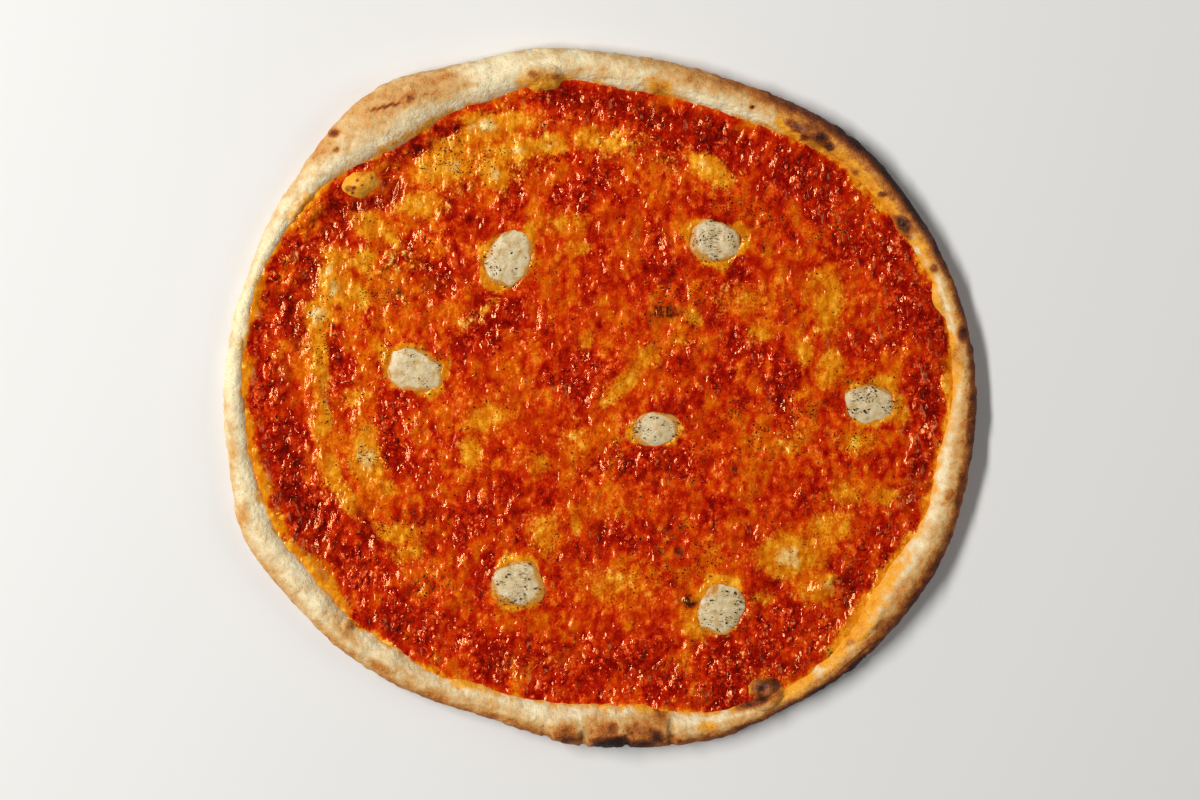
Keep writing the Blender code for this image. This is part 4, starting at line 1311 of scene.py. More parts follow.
CRUST_BAKED = (
    Patch(-126, 172, 60, 22, 38, 0.36), Patch(-98, 183, 46, 18, 8, 0.38),
    Patch(-160, 150, 22, 17, 45, 0.4), Patch(-152, 158, 8, 5, 20, 0.78),
    Patch(-151, 149, 5, 3.5, 30, 0.7), Patch(-183, 130, 28, 10, 50, 0.36),
    Patch(-110, 178, 18, 8, 32, 0.62), Patch(-108, 178, 9, 4, 28, 0.9),
    Patch(-122, 174, 26, 2.2, 15, 0.95), Patch(-138, 129, 25, 17, 15, 0.3),
    Patch(-143, 126, 9, 6, 0, 0.7), Patch(-134, 135, 14, 3, 15, 0.66),
    Patch(-145, 125, 2.6, 2.2, 0, 1.1), Patch(-141, 127, 3.4, 2.2, 20, 1.1),
    Patch(-139, 131, 2.6, 2, 0, 1.0), Patch(-142, 123, 2.4, 2, 0, 1.0), Patch(-136, 128, 2, 2, 0, 0.9),
    Patch(-131, 132, 2.4, 2, 0, 0.9), Patch(-207, -64, 18, 9, 80, 0.4),
    Patch(-213, -28, 44, 7, 88, 0.3), Patch(-150, -130, 32, 9, -45, 0.35),
    Patch(-128, -154, 22, 7, -28, 0.5), Patch(-97, -173, 22, 13, -15, 0.58),
    Patch(-97, -177, 9, 5, -8, 0.8), Patch(-60, -184, 60, 7, -12, 0.42),
    Patch(-20, -193, 18, 15, 0, 0.62), Patch(-18, -197, 13, 7, 0, 0.8), Patch(0, -192, 22, 19, 0, 0.58),
    Patch(-1, -197, 14, 8, 0, 0.78), Patch(8, -201, 24, 15, 0, 1.3), Patch(7, -190, 8, 10, 0, 0.74),
    Patch(27, -191, 27, 20, 5, 0.62), Patch(32, -194, 12, 14, 0, 0.86),
    Patch(23, -200, 22, 10, 0, 0.94), Patch(35, -183, 12, 24, -10, 0.64),
    Patch(29, -176, 16, 8, 0, 0.56), Patch(13, -185, 6, 5, 0, 0.36), Patch(50, -198, 24, 5, 3, 0.56),
    Patch(88, -190, 36, 7, 13, 0.66), Patch(103, -183, 22, 6, 18, 0.62),
    Patch(97, -167, 25, 17, 15, 0.82), Patch(103, -164, 9, 10, -30, 0.98),
    Patch(94, -167, 6, 5, 0, 1.2), Patch(91, -175, 26, 6, 22, 1.02), Patch(112, -176, 15, 8, 20, 0.68),
    Patch(122, -171, 12, 6, 30, 0.76), Patch(134, -165, 34, 6, 35, 0.9),
    Patch(152, -151, 32, 8, 40, 0.8), Patch(158, -139, 17, 9, 40, 0.6),
    Patch(146, -139, 9, 5, 40, 0.56), Patch(165, -129, 20, 10, 45, 0.58),
    Patch(180, -118, 26, 9, 52, 0.66), Patch(192, -100, 36, 9, 62, 0.66),
    Patch(205, -78, 26, 9, 65, 0.66), Patch(209, -50, 44, 8, 80, 0.64), Patch(203, -52, 8, 9, 0, 0.6),
    Patch(214, -15, 66, 6, 90, 0.62), Patch(206, 28, 9, 16, 0, 0.55), Patch(209, 42, 7, 11, 10, 0.88),
    Patch(207, 60, 40, 6, 104, 0.52), Patch(197, 85, 36, 6, 116, 0.56), Patch(192, 80, 5, 7, 0, 0.72),
    Patch(176, 98, 8, 5, 0, 0.68), Patch(174, 105, 16, 11, -50, 0.86), Patch(173, 107, 9, 6, -50, 1.02),
    Patch(162, 123, 6, 4, 0, 0.76), Patch(167, 135, 38, 8, -48, 0.52), Patch(148, 135, 11, 6, -30, 0.6),
    Patch(122, 157, 34, 15, -35, 0.62), Patch(113, 161, 19, 7, -35, 0.78),
    Patch(126, 155, 14, 9, -30, 0.92), Patch(117, 156, 8, 7, 0, 0.84), Patch(131, 151, 9, 6, -35, 0.96),
    Patch(116, 172, 44, 9, -18, 0.5), Patch(140, 159, 40, 8, -38, 0.52),
    Patch(62, 187, 56, 12, -12, 0.42), Patch(33, 184, 17, 14, 0, 0.5), Patch(-33, 189, 24, 14, 0, 0.5),
    Patch(-38, 192, 8, 5, 0, 0.74), Patch(-26, 191, 7, 5, 0, 0.7), Patch(-34, 183, 5, 4, 0, 0.66),
    Patch(-5, 193, 40, 9, 0, 0.3), Patch(87, 173, 2.6, 2.6, 0, 1.0), Patch(-146, -129, 7, 6, 0, 0.56),
    Patch(-90, 189, 22, 6, 20, 0.46), Patch(-75, 186, 10, 4, 10, 0.4), Patch(-97, 181, 20, 4, 10, 0.5),
)
CRUST_OILY = (
    Patch(-106, 156, 84, 11, 29, 0.8), Patch(-33, 184, 26, 16, 0, 0.9), Patch(33, 182, 18, 15, 0, 0.85),
    Patch(-168, 112, 28, 17, 60, 0.9), Patch(-138, 128, 34, 26, 20, 0.7),
    Patch(112, -166, 30, 12, 30, 1.1), Patch(134, -147, 26, 14, 48, 1.15),
    Patch(149, -131, 30, 14, 50, 1.15), Patch(159, -115, 24, 13, 52, 0.95),
    Patch(167, -101, 20, 12, 55, 0.95), Patch(176, -90, 16, 8, 60, 0.7), Patch(25, -176, 40, 6, 0, 0.7),
    Patch(62, -189, 12, 8, 0, 0.7), Patch(205, 22, 34, 9, 95, 0.75), Patch(202, 62, 34, 7, 104, 0.5),
    Patch(186, 95, 26, 11, 116, 0.95), Patch(146, 134, 44, 17, -42, 1.55),
    Patch(120, 154, 46, 18, -32, 1.35), Patch(166, 116, 30, 14, -50, 1.45),
    Patch(-196, 62, 50, 8, 78, 0.5), Patch(-201, -10, 60, 6, 92, 0.4),
    Patch(-188, -62, 50, 9, 112, 0.6), Patch(-135, -129, 40, 9, -38, 0.6),
    Patch(98, 160, 22, 6, -25, 0.6), Patch(-45, -173, 60, 5, -5, 0.5),
)
CRUST_WRINKLED = (
    Patch(213, -15, 70, 9, 90, 1.0), Patch(150, -150, 40, 8, 42, 1.0), Patch(190, -95, 60, 8, 62, 0.6),
    Patch(-208, 10, 70, 8, 90, 0.35), Patch(174, 122, 60, 6, 130, 0.5),
)
CRUST_HOLLOWS = (
    Patch(95, -167, 8, 5, 10, 2.2), Patch(90, -172, 20, 2.4, 22, 1.4), Patch(87, 173, 2.4, 2.4, 0, 1.2),
    Patch(-120, 175, 24, 2.6, 14, 1.0), Patch(132, 152, 10, 4, -30, 0.8),
    Patch(-10, -198, 5, 16, 5, 1.8), Patch(16, -198, 5, 16, -5, 1.8), Patch(42, -193, 7, 18, 0, 2.0),
    Patch(-31, -193, 8, 16, 0, 1.4), Patch(128, 148, 40, 2.4, -36, 1.0),
    Patch(150, -148, 34, 2.2, 42, 1.0), Patch(-142, 152, 12, 3, 60, 0.9),
)


@dataclass(frozen=True)
class Crust:
    """The dough: its section carried round the pizza, with the rim's bubbles, wrinkles and blisters."""

    pie: Pie
    around: int = 1260
    crest_share: float = 0.46
    waist_share: float = 0.42
    foot_share: float = 0.22
    foot_run: float = 2.4
    inner_steps: int = 24
    inner_power: float = 1.6
    outer_steps: int = 18
    under_steps: int = 6
    floors: tuple[float, float] = (0.4, 0.85)
    floor_place: float = 3.0
    apron: float = 30.0
    apron_step: float = 1.4
    upper_share: tuple[float, float] = (0.35, 0.8)
    unevenness: float = 0.9
    swell_size: float = 26.0
    dimple_size: float = 12.0
    blister_foot: float = 5.0
    blister_fray: float = 0.1
    blister_softness: float = 1.6
    blister_reach: float = 4.0
    blister_share: float = 0.35
    side_radius: float = 190.0
    pore_size: float = 3.2
    pore_depth: float = 0.35
    pimple_height: float = 0.25
    beads: Pebbling = Pebbling(7.5, 101, shift=2.0, shift_size=9.0)
    bead_height: float = 0.7
    crumb_height: float = 0.8
    wrinkle_depth: float = 0.5

    def section(self) -> tuple[Array, Array, Array, Array]:
        """The section of an even rim, from the middle of the floor over the crest to the underside.

        Returns:
            For each ring: its place as a share of the rim's width counted inwards from the outline, how
            far it lies inside that place, its height, and for the rings of the two floors the share of
            the apron's radius where they lie, which is 0 for the rest.
        """
        base, line, height = self.pie.base_thickness, self.pie.sauce_line_height, self.pie.even_height()
        inset = np.arange(self.apron, 0.0, -self.apron_step)
        near_line = np.clip(1.0 - inset / self.foot_run, 0.0, 1.0)
        apron_z = base + (line - base) * near_line**2
        angle = quarter_turn(self.inner_steps)
        inner = self.crest_share + (1 - self.crest_share) * np.cos(angle)
        inner_z = line + (height - line) * np.sin(angle) ** self.inner_power
        waist = height * self.waist_share
        angle = quarter_turn(self.outer_steps)[1:]
        outer, outer_z = self.crest_share * (1 - np.sin(angle)), waist + (height - waist) * np.cos(angle)
        angle = quarter_turn(self.under_steps)[1:]
        under, under_z = self.foot_share * (1 - np.cos(angle)), waist * (1 - np.sin(angle))
        ends = np.zeros(len(self.floors))
        across = np.concatenate([np.ones(len(ends) + len(inset)), inner, outer, under, ends])
        heights = np.concatenate([ends + base, apron_z, inner_z, outer_z, under_z, ends])
        insets = np.concatenate([ends, inset, np.zeros(len(across) - len(ends) - len(inset))])
        floor = np.concatenate([self.floors, np.zeros(len(across) - 2 * len(ends)), self.floors[::-1]])
        return across, insets, heights, floor

    def form(self, bearing: Array) -> tuple[Array, Array, Array, Array]:
        """The rim as the solid has it, with the blisters that reach in over the sauce line.

        Args:
            bearing: The bearings, one for each column.

        Returns:
            x, y and z, and the place across the rim, each with a row for each ring of the section.
        """
        pie = self.pie
        line, even, crest = pie.sauce_line_height, pie.even_height(), pie.rim_height(bearing)
        across, insets, heights, floor = (part[:, None] for part in self.section())
        radius = pie.outer_radius(bearing) - pie.outline_inset - across * pie.rim_width(bearing) - insets
        radius = np.where(floor > 0, floor * (pie.sauce_radius(bearing) - self.apron), radius)
        x, y = radius * np.cos(np.radians(bearing)), radius * np.sin(np.radians(bearing))
        z = heights + np.zeros_like(bearing)
        inner_z = z + np.clip((z - line) / (even - line), 0, 1) * (crest - even)
        outer_z = z * crest / even
        z = np.where(floor > 0, z, np.where(across > self.crest_share, inner_z, outer_z))
        relief = self.unevenness * rolling(x, y, self.swell_size, self.dimple_size, pie.seed + 4)
        upper = smooth_step(*self.upper_share, z / crest)
        z = z + upper * (relief + dome_sum(x, y, CRUST_BUBBLES))
        rise = self.blister_top(x, y) - z
        lift = 0.5 * (rise + np.hypot(rise, self.blister_softness)) * (rise > -self.blister_reach)
        z = z + np.where(across > self.blister_share, lift, 0.0)
        place = across + insets / pie.rim_width(bearing)
        return x, y, z, np.where((floor > 0) & (across > 0.5), self.floor_place, place)

    def blister_top(self, x: Array, y: Array) -> Array:
        """The top of the dough blisters: each falls from its height as 1 - d^2, and 0 outside.

        Args:
            x, y: The places.

        Returns:
            The height of the highest one there, with a frayed edge.
        """
        top = np.zeros_like(x)
        fray = self.blister_fray * fine_uneven(x, y, 6.0, 99)
        for patch in CRUST_BLISTERS:
            inside = dome(patch.distance(x, y) + fray)
            height = self.blister_foot + (patch.amount - self.blister_foot) * inside
            top = np.maximum(top, np.where(inside > 0, height, 0.0))
        return top

    def relief(self, x: Array, y: Array, z: Array) -> Array:
        """The fine relief that stands out of the rim: soft swellings, beads, pimples, pores and wrinkles.

        Args:
            x, y, z: The places. The lower one lies on the rim's outer side, the further out it is
                looked up, so that the relief isn't drawn out down that side.

        Returns:
            How far the surface stands out, with crumbs where it is baked hard and less in the hollows.
        """
        reach = np.hypot(x, y)
        unrolled = 1.0 + 0.9 * (10.0 - z) / 200.0 * (reach > self.side_radius)
        u, v = x * unrolled, y * unrolled
        soft = 0.45 * fine_uneven(u, v, 8.0, 91) + 0.4 * fine_uneven(u, v, 3.6, 92)
        near, kind = pebbles(u, v, self.pore_size, 93)
        pore = self.pore_depth * smooth_step(0.35, 0.1, near) * smooth_step(0.8, 0.95, kind)
        pimple = self.pimple_height * smooth_step(0.6, 0.0, near) * smooth_step(0.35, 0.1, kind)
        near, kind = self.beads.at(u, v)
        bead = self.bead_height * dome(near, 2.0) * smooth_step(0.45, 1.0, kind)
        hard = np.maximum(cover(x, y, CRUST_BAKED, edge=0.6) - 0.5, 0.0)
        crumb = self.crumb_height * hard * fine_uneven(u, v, 2.4, 94)
        drawn_in = 0.8 * reach + 2.0 * uneven(x, y, 9.0, 95)
        crease = np.abs(uneven(0.55 * bearing_of(x, y), drawn_in, 1.3, 96, WIDE_NET))
        wrinkle = self.wrinkle_depth * smooth_step(0.2, 0.0, crease) * cover(x, y, CRUST_WRINKLED, edge=0.4)
        return soft + bead + pimple + crumb - pore - wrinkle - dome_sum(x, y, CRUST_HOLLOWS)

    def masks(self, x: Array, y: Array, z: Array, place: Array) -> dict[str, Array]:
        """How baked and how oily the dough is.

        Args:
            x, y, z: The places.
            place: Where they lie across the rim, from 0 on the outline to 1 on the sauce line.

        Returns:
            bake: from 0 for pale dough to 1 for char; oil: from 0 for dry dough to 1 for soaked dough.
        """
        broad = uneven(x, y, 22.0, 102, WIDE_NET)
        mottle = fine_uneven(x, y, 9.0, 97)
        fine = fine_uneven(x, y, 3.0, 98)
        outside = smooth_step(0.46, 0.02, place)
        inside = smooth_step(0.5, 0.75, place)
        bake = (0.07 + swell_sum(bearing_of(x, y), BAKE_SWELLS)) * (1 + 0.9 * outside - 0.6 * inside)
        bake = bake + 0.12 * outside + 0.09 * broad + 0.12 * mottle + 0.08 * fine
        spots = cover(x, y, CRUST_BAKED, edge=0.75) * np.clip(0.98 + 0.2 * fine + 0.15 * mottle, 0.0, 1.2)
        bake = np.maximum(bake, spots + 0.3 * bake)
        stained = cover(x, y, CRUST_OILY, edge=0.75) * np.clip(0.85 + 0.5 * fine, 0.0, 1.2)
        line = self.pie.inside_line(x, y) + 2.0 * mottle + 1.2 * fine
        oil = np.maximum(0.8 * smooth_step(-6.0, 2.0, line), stained)
        under = smooth_step(2.5, 0.3, z)
        return {
            "bake": np.clip(bake * (1 - under) + 0.4 * under, 0, 1.3),
            "oil": np.clip(oil * (1 - under), 0, 1.2),
        }

    def skin(self) -> Skin:
        """Carries the section round, lifts the fine relief along the normals and closes both poles.

        Returns:
            The skin, kept inside the box that the solids fill.
        """
        bearing = np.arange(self.around) * 360.0 / self.around
        x, y, z, place = self.form(bearing)
        points = np.stack([x, y, z], axis=-1)
        along = np.roll(points, -1, axis=1) - np.roll(points, 1, axis=1)
        over = np.gradient(points, axis=0)
        normal = np.cross(along, over)
        normal = normal / np.maximum(np.linalg.norm(normal, axis=-1, keepdims=True), 1e-9)
        facing = np.where(place > self.crest_share, normal[..., 2], normal[..., 0] * x + normal[..., 1] * y)
        outward = normal * np.sign(facing + 1e-9)[..., None]
        free = smooth_step(1.0, 4.0, z) * ((place < 1.05) | (z > 7.5))
        points = points + outward * (self.relief(x, y, z) * free)[..., None]
        poles = [[0.0, 0.0, self.pie.base_thickness], [0.0, 0.0, 0.0]]
        flat = np.concatenate([points.reshape(-1, 3), poles]) - (*self.pie.middle(), 0.0)
        low, high = (np.array(corner) / MM for corner in CAD_BOX)
        masks = {name: values.ravel() for name, values in self.masks(x, y, z, place).items()}
        masks = {name: np.append(values, [values[0], values[-1]]) for name, values in masks.items()}
        return Skin("crust_skin", np.clip(flat, low, high), closed_faces(*place.shape), masks)


# ---------------------------------------------------------------------------------------------------
# The layers, the mozzarella, and what is strewn over them
# ---------------------------------------------------------------------------------------------------


@dataclass(frozen=True)
class Layer:
    """Sauce or cheese: a closed sheet whose top is a formula and whose underside lies in the dough."""

    name: str
    pie: Pie
    topping: Topping
    top: Formula
    cell: float = 1.16
    margin_cells: int = 4
    overlap: float = 5.0
    hem: float = 0.05
    bed: float = 2.0

    def skin(self) -> Skin:
        """A square net over the recess, drawn in at its edge, with a skirt and a fan to close it below.

        Returns:
            The skin, with the masks of the topping.
        """
        reach = self.pie.half_length + self.margin_cells * self.cell
        steps = np.arange(-reach, reach, self.cell)
        x, y = (grid.ravel() for grid in np.meshgrid(steps, steps))
        radius = np.hypot(x, y)
        edge = self.pie.sauce_radius(bearing_of(x, y)) + self.overlap
        kept = radius < edge + self.cell
        pull = np.where(radius > edge, (edge + self.hem * (radius - edge)) / np.maximum(radius, 1.0), 1.0)
        x, y = x * pull, y * pull
        number = np.full(len(x), -1)
        number[kept] = np.arange(kept.sum())
        corner = number.reshape(len(steps), len(steps))
        quads = np.stack([corner[:-1, :-1], corner[:-1, 1:], corner[1:, 1:], corner[1:, :-1]], axis=-1)
        quads = quads.reshape(-1, 4)
        quads = quads[(quads >= 0).all(axis=1)]
        x, y = x[kept], y[kept]
        top = np.stack([x, y, self.top(x, y)], axis=1)
        count = len(top)
        first, second = quads.ravel(), np.roll(quads, -1, axis=1).ravel()
        border = ~np.isin(first.astype(np.int64) * count + second, second.astype(np.int64) * count + first)
        first, second = first[border], second[border]
        names, index = np.unique(np.concatenate([first, second]), return_inverse=True)
        low_first, low_second = (part + count for part in np.split(index, 2))
        low = np.stack([x[names], y[names], np.full(len(names), self.bed)], axis=1)
        tip = count + len(names)
        faces = [
            quads,
            np.stack([second, first, low_first, low_second], axis=1),
            np.stack([low_second, low_first, np.full(len(first), tip)], axis=1),
        ]
        points = np.concatenate([top, low, [[0.0, 0.0, self.bed]]])
        masks = self.topping.masks(points[:, 0], points[:, 1])
        return Skin(self.name, points - (*self.pie.middle(), 0.0), faces, masks)


@dataclass(frozen=True)
class Mozzarella:
    """One lump of fresh mozzarella: a flattened ball with wandering sides, half sunk in the cheese."""

    pie: Pie
    number: int
    patch: Patch
    around: int = 120
    rings: int = 44
    sink: float = 1.2
    rise: float = 2.6
    rise_share: float = 0.92
    wander: float = 0.07
    squareness: float = 0.7
    lump_height: float = 0.6
    lump_size: float = 8.0
    curd_height: float = 0.55
    curd_size: float = 4.4
    curd_base: float = 0.2
    grain_height: float = 0.22
    grain_size: float = 1.6
    fray: float = 0.13
    fine_fray: float = 0.06
    melted_sides: tuple[float, float] = (0.76, 0.98)

    def seat(self) -> float:
        """The height of the cheese at the lump's middle."""
        x, y = np.array([self.patch.x]), np.array([self.patch.y])
        drop = self.pie.cheese_drop * smooth_step(0, 1, self.pie.sauce_share(x, y))
        return float((self.pie.cheese_full_level(x, y) - drop)[0])

    def grow(self, x: Array, y: Array) -> Array:
        """How far the sides stand out at a place of the unit ball: squarish, and wandering.

        Args:
            x, y: Places on the unit ball.

        Returns:
            The factor by which the ball is grown there, about 1.
        """
        wander = 1.0 + self.wander * uneven(x, y, 0.8, self.pie.seed + 10 + self.number)
        reach = np.maximum(np.hypot(x, y), 1e-6)
        corners = np.where(reach > 1e-3, (np.abs(x) ** 3 + np.abs(y) ** 3) ** (1 / 3) / reach, 1.0)
        return wander / corners**self.squareness

    def relief(self, along: Array, aside: Array) -> Array:
        """The lumps, curds and grain of the upper side, about its mean height.

        Args:
            along, aside: Places in the lump's own directions.

        Returns:
            The height over the even top.
        """
        seed = self.pie.seed + 20 + self.number
        near, kind = pebbles(along, aside, self.curd_size, seed + 40)
        curd = self.curd_height * dome(near, 1.3) * kind
        grain = self.grain_height * fine_uneven(along, aside, self.grain_size, seed + 60)
        return self.lump_height * uneven(along, aside, self.lump_size, seed) + curd + grain - self.curd_base

    def skin(self) -> Skin:
        """Rings from the top to the underside, swollen to the lump's form and given a curdled relief.

        Returns:
            The skin, with the mask of its melted hem.
        """
        x, y, z = ball(self.rings, self.around)
        side = np.hypot(x, y)
        grow = self.grow(x, y)
        along, aside = x * grow * self.patch.length / 2, y * grow * self.patch.width / 2
        seed = self.pie.seed + 20 + self.number
        fray = self.fray * uneven(along + 90, aside, 11.0, seed + 80)
        fray = fray + self.fine_fray * fine_uneven(along, aside, 4.0, seed + 81)
        fray = 1.0 + fray * smooth_step(0.4, 1.0, side)
        top = (self.rise * self.rise_share + self.relief(along, aside)) * np.clip(z, 0.0, 1.0)
        height = self.seat() + np.where(z > 0, top, -self.sink * smooth_step(0.0, -0.3, z))
        along, aside = along * fray, aside * fray
        angle = math.radians(self.patch.turn)
        place_x = self.patch.x + along * math.cos(angle) - aside * math.sin(angle)
        place_y = self.patch.y + along * math.sin(angle) + aside * math.cos(angle)
        poles = [[self.patch.x, self.patch.y, end.mean()] for end in (height[0], height[-1])]
        points = np.concatenate([np.stack([place_x, place_y, height], axis=-1).reshape(-1, 3), poles])
        hem = smooth_step(*self.melted_sides, side + 0.24 * fine_uneven(along, aside, 8.0, seed + 90))
        masks = {"hem": np.append(np.where(z > -0.1, hem, 1.0).ravel(), [0.0, 1.0])}
        points = points - (*self.pie.middle(), 0.0)
        return Skin(f"mozzarella_{self.number}_skin", points, closed_faces(self.rings, self.around), masks)

    def top_at(self, x: Array, y: Array) -> Array:
        """The height of the lump's upper side at a place, or 0 outside it."""
        inside = self.patch.distance(x, y) * 0.97
        return np.where(inside < 1, self.seat() + self.rise * np.clip(1 - inside**2, 0, 1) ** 0.3, 0.0)


@dataclass(frozen=True)
class Scatter:
    """Small lumps of one kind, strewn over the top: one low-sided shape, sized, turned and sunk in.

    spacing is the distance between two places, lengths, widths and heights are the smallest and largest
    sizes, sides and bands say how round a lump is, lean how far it tips, and sink how deep it lies.
    """

    name: str
    seed: int
    spacing: float
    lengths: tuple[float, float]
    widths: tuple[float, float]
    heights: tuple[float, float]
    sides: int
    bands: int
    lean: float
    sink: float
    unevenness: float = 0.22

    def shape(self) -> tuple[Array, list[Array]]:
        """A closed ball of a few bands, one across, with its poles up and down."""
        rows = np.stack(ball(self.bands, self.sides), axis=-1)
        points = np.concatenate([rows.reshape(-1, 3), [[0, 0, 1], [0, 0, -1]]]) / 2
        return points, closed_faces(self.bands, self.sides)

    def places(self, density: Formula, pie: Pie) -> tuple[Array, Array]:
        """Places on a jittered net, kept by chance as the density says.

        Args:
            density: The chance of a lump at a place, from 0 to 1.
            pie: The form that the net covers.

        Returns:
            x and y.
        """
        random = np.random.default_rng(self.seed)
        steps = np.arange(-pie.half_length, pie.half_length, self.spacing)
        x, y = (grid.ravel() for grid in np.meshgrid(steps, steps))
        x = x + random.uniform(-0.5, 0.5, len(x)) * self.spacing
        y = y + random.uniform(-0.5, 0.5, len(y)) * self.spacing
        kept = random.uniform(0, 1, len(x)) < density(x, y)
        return x[kept], y[kept]

    def skin(self, x: Array, y: Array, ground: Formula, pie: Pie) -> tuple[Skin, Array, Array]:
        """All the lumps as one mesh.

        Args:
            x, y: The places.
            ground: The height that a lump lies on at a place.
            pie: The form that they lie on.

        Returns:
            The skin, and x and y of the lump that each of its points belongs to, before the pizza is
            centred.
        """
        random = np.random.default_rng(self.seed + 1)
        base, faces = self.shape()
        count = len(x)
        ranges = (self.lengths, self.widths, self.heights)
        sizes = np.stack([random.uniform(*bounds, count) for bounds in ranges], axis=1)
        dents = random.uniform(-self.unevenness, self.unevenness, (count, len(base), 1))
        local = base[None] * (1 + dents) * sizes[:, None, :]
        lean = random.uniform(-self.lean, self.lean, count)[:, None]
        turn = random.uniform(0, 2 * math.pi, count)[:, None]
        along, aside, up = local[..., 0], local[..., 1], local[..., 2]
        along, up = along * np.cos(lean) - up * np.sin(lean), along * np.sin(lean) + up * np.cos(lean)
        place_x = x[:, None] + along * np.cos(turn) - aside * np.sin(turn)
        place_y = y[:, None] + along * np.sin(turn) + aside * np.cos(turn)
        height = (ground(x, y) + (0.5 - self.sink) * sizes[:, 2])[:, None] + up
        points = np.stack([place_x, place_y, height], axis=-1).reshape(-1, 3)
        first = (np.arange(count) * len(base))[:, None, None]
        blocks = [(block[None] + first).reshape(-1, block.shape[1]) for block in faces]
        spots_x, spots_y = np.repeat(x, len(base)), np.repeat(y, len(base))
        return Skin(self.name, points - (*pie.middle(), 0.0), blocks), spots_x, spots_y


@dataclass(frozen=True)
class Strewing:
    """The pulp and the seasoning: how thick each is strewn, and what it lies on."""

    pie: Pie
    topping: Topping
    mozzarella: tuple[Mozzarella, ...]
    pulp: Scatter = Scatter(
        "tomato_pulp", 201, spacing=3.6, lengths=(2.0, 6.6), widths=(1.2, 3.0), heights=(0.8, 2.0),
        sides=10, bands=4, lean=0.4, sink=0.64,
    )
    herb: Scatter = Scatter(
        "herb_flakes", 211, spacing=3.6, lengths=(0.9, 2.2), widths=(0.5, 1.1), heights=(0.2, 0.4),
        sides=6, bands=1, lean=0.5, sink=0.2,
    )
    pepper: Scatter = Scatter(
        "pepper_grains", 221, spacing=1.4, lengths=(0.4, 1.0), widths=(0.3, 0.75), heights=(0.3, 0.6),
        sides=5, bands=1, lean=0.8, sink=0.25,
    )
    clumps: tuple[Drift, ...] = (Drift(1.2, 9.0, 231), Drift(1.8, 3.6, 232))

    def inside(self, x: Array, y: Array) -> Array:
        """1 inside the sauce line and 0 outside it."""
        return smooth_step(1.0, 5.0, self.pie.inside_line(x, y))

    def ground(self, x: Array, y: Array) -> Array:
        """The height of whatever lies on top."""
        layers = [self.topping.sauce_top(x, y), self.topping.cheese_top(x, y)]
        return np.maximum.reduce(layers + [lump.top_at(x, y) for lump in self.mozzarella])

    def pulp_density(self, x: Array, y: Array) -> Array:
        """Pulp lies where sauce shows, and thins out over the cheese."""
        clear = smooth_step(1.1, 1.3, self.pie.nearest_mozzarella(x, y))
        return (0.02 + 0.34 * smooth_step(0.35, 0.8, self.topping.tomato(x, y))) * self.inside(x, y) * clear

    def fleck_density(self, x: Array, y: Array) -> Array:
        """Seasoning lies all over in clumps, and thicker where it was strewn."""
        clump = np.clip(0.5 + drift_sum(x, y, self.clumps), 0.03, 2.2)
        return (0.1 + 1.1 * cover(x, y, SEASONED, edge=0.6)) * clump * self.inside(x, y)

    def pulp_skin(self) -> Skin:
        """The pulp, with the masks of the topping that it lies on and a crest of its own for each lump.

        Returns:
            The skin.
        """
        x, y = self.pulp.places(self.pulp_density, self.pie)
        skin, spots_x, spots_y = self.pulp.skin(x, y, self.ground, self.pie)
        skin.masks = self.topping.masks(spots_x, spots_y)
        crests = np.random.default_rng(self.pulp.seed + 2).uniform(0.1, 0.85, len(x))
        skin.masks["crest"] = crests.repeat(len(spots_x) // len(x))
        return skin

    def fleck_skin(self, flecks: Scatter) -> Skin:
        """The herb or the pepper."""
        x, y = flecks.places(self.fleck_density, self.pie)
        return flecks.skin(x, y, self.ground, self.pie)[0]


# ---------------------------------------------------------------------------------------------------
# The studio
# ---------------------------------------------------------------------------------------------------


@dataclass(frozen=True)
class Softbox:
    """A rectangular lamp that faces the pizza."""

    name: str
    place: Triple
    size: tuple[float, float]
    power: float

    def put(self) -> None:
        """Adds the lamp, turned towards the origin with its long side along Y."""
        lamp = bpy.data.lights.new(self.name, "AREA")
        lamp.shape = "RECTANGLE"
        lamp.size, lamp.size_y = self.size
        lamp.energy = self.power
        holder = bpy.data.objects.new(self.name, lamp)
        holder.location = self.place
        x, y, z = self.place
        holder.rotation_euler = (math.atan2(-y, math.hypot(x, z)), math.atan2(x, z), 0.0)
        bpy.context.scene.collection.objects.link(holder)


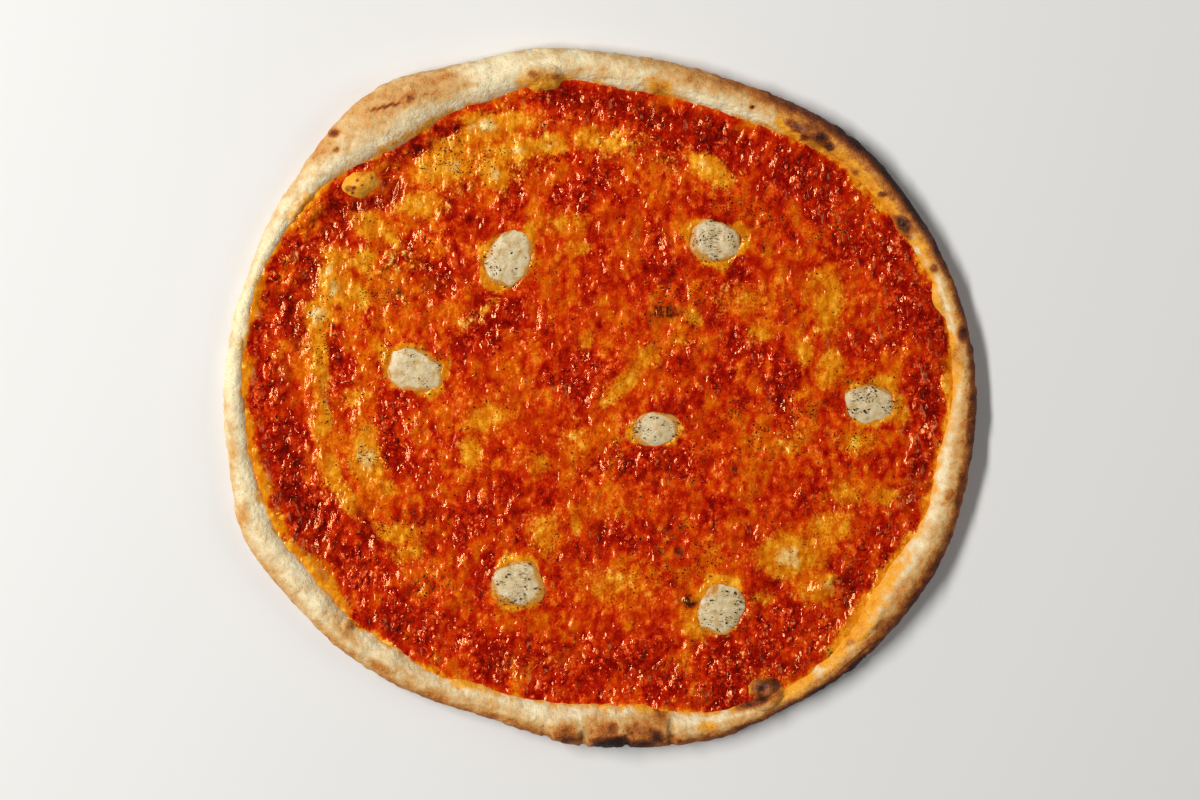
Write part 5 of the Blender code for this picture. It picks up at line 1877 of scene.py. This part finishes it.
@dataclass(frozen=True)
class Studio:
    """A plain pale floor, soft lamps and a camera that looks down on the pizza."""

    tilt: float = 9.0
    distance: float = 2.611
    lens: float = 135.0
    sensor: float = 36.0
    floor_half: float = 6.0
    floor_colour: Colour = screen(226, 224, 220)
    floor_roughness: float = 0.9
    air: Colour = screen(205, 207, 210)
    air_strength: float = 0.14
    lamps: tuple[Softbox, ...] = (
        Softbox("key", (-1.75, 0.5, 2.0), (0.36, 2.4), 92.0),
        Softbox("fill", (2.5, 0.4, 1.6), (1.4, 2.0), 21.0),
    )

    def put(self) -> None:
        """Adds the floor, the lamps, the light of the room and the camera."""
        scene = bpy.context.scene
        scene.view_settings.view_transform = "Standard"
        for lamp in self.lamps:
            lamp.put()
        half = self.floor_half
        corners = [(-half, -half, 0), (half, -half, 0), (half, half, 0), (-half, half, 0)]
        mesh = bpy.data.meshes.new("floor")
        mesh.from_pydata(corners, [], [(0, 1, 2, 3)])
        mix = Recipe("floor")
        mix.shader.inputs["Base Color"].default_value = self.floor_colour
        mix.shader.inputs["Roughness"].default_value = self.floor_roughness
        mesh.materials.append(mix.material)
        floor = bpy.data.objects.new("floor", mesh)
        scene.collection.objects.link(floor)
        world = bpy.data.worlds.new("room")
        world.use_nodes = True
        sky = world.node_tree.nodes["Background"]
        sky.inputs["Color"].default_value = self.air
        sky.inputs["Strength"].default_value = self.air_strength
        scene.world = world
        view = bpy.data.cameras.new("camera")
        view.lens = self.lens
        view.sensor_width = self.sensor
        camera = bpy.data.objects.new("camera", view)
        tilt = math.radians(self.tilt)
        camera.location = (0.0, self.distance * math.sin(tilt), self.distance * math.cos(tilt))
        camera.rotation_euler = (-tilt, 0.0, 0.0)
        scene.collection.objects.link(camera)
        scene.camera = camera


def main() -> None:
    """Builds the pizza's pieces in order, then the studio."""
    logging.basicConfig(level=logging.INFO, format="%(name)s %(message)s")
    pie = Pie()
    topping = Topping(pie)
    sauce = Layer("tomato_sauce_skin", pie, topping, topping.sauce_top)
    cheese = Layer("melted_cheese_skin", pie, topping, topping.cheese_top)
    lumps = tuple(Mozzarella(pie, number, patch) for number, patch in enumerate(MOZZARELLA_PIECES, start=1))

    Crust(pie).skin().put(DoughFinish().make(), Slot.DOUGH, ["crust"])
    sauce.skin().put(ToppingFinish("tomato_sauce", gloss=0.13).make(), Slot.SAUCE, ["tomato_sauce"])
    cheese.skin().put(ToppingFinish("melted_cheese", gloss=0.17).make(), Slot.CHEESE, ["melted_cheese"])
    milky = MozzarellaFinish().make()
    for lump in lumps:
        lump.skin().put(milky, Slot.MOZZARELLA, [f"mozzarella_{lump.number}"])

    strewing = Strewing(pie, topping, lumps)
    strewing.pulp_skin().put(ToppingFinish("tomato_pulp", gloss=0.15).make(), Slot.SAUCE, [])
    herb_look = FleckFinish("dried_herb", screen(72, 52, 18), screen(38, 24, 8))
    strewing.fleck_skin(strewing.herb).put(herb_look.make(), None, [])
    pepper_look = FleckFinish("ground_pepper", screen(34, 18, 9), screen(70, 40, 18))
    strewing.fleck_skin(strewing.pepper).put(pepper_look.make(), None, [])

    Studio().put()


if __name__ == "__main__":
    main()
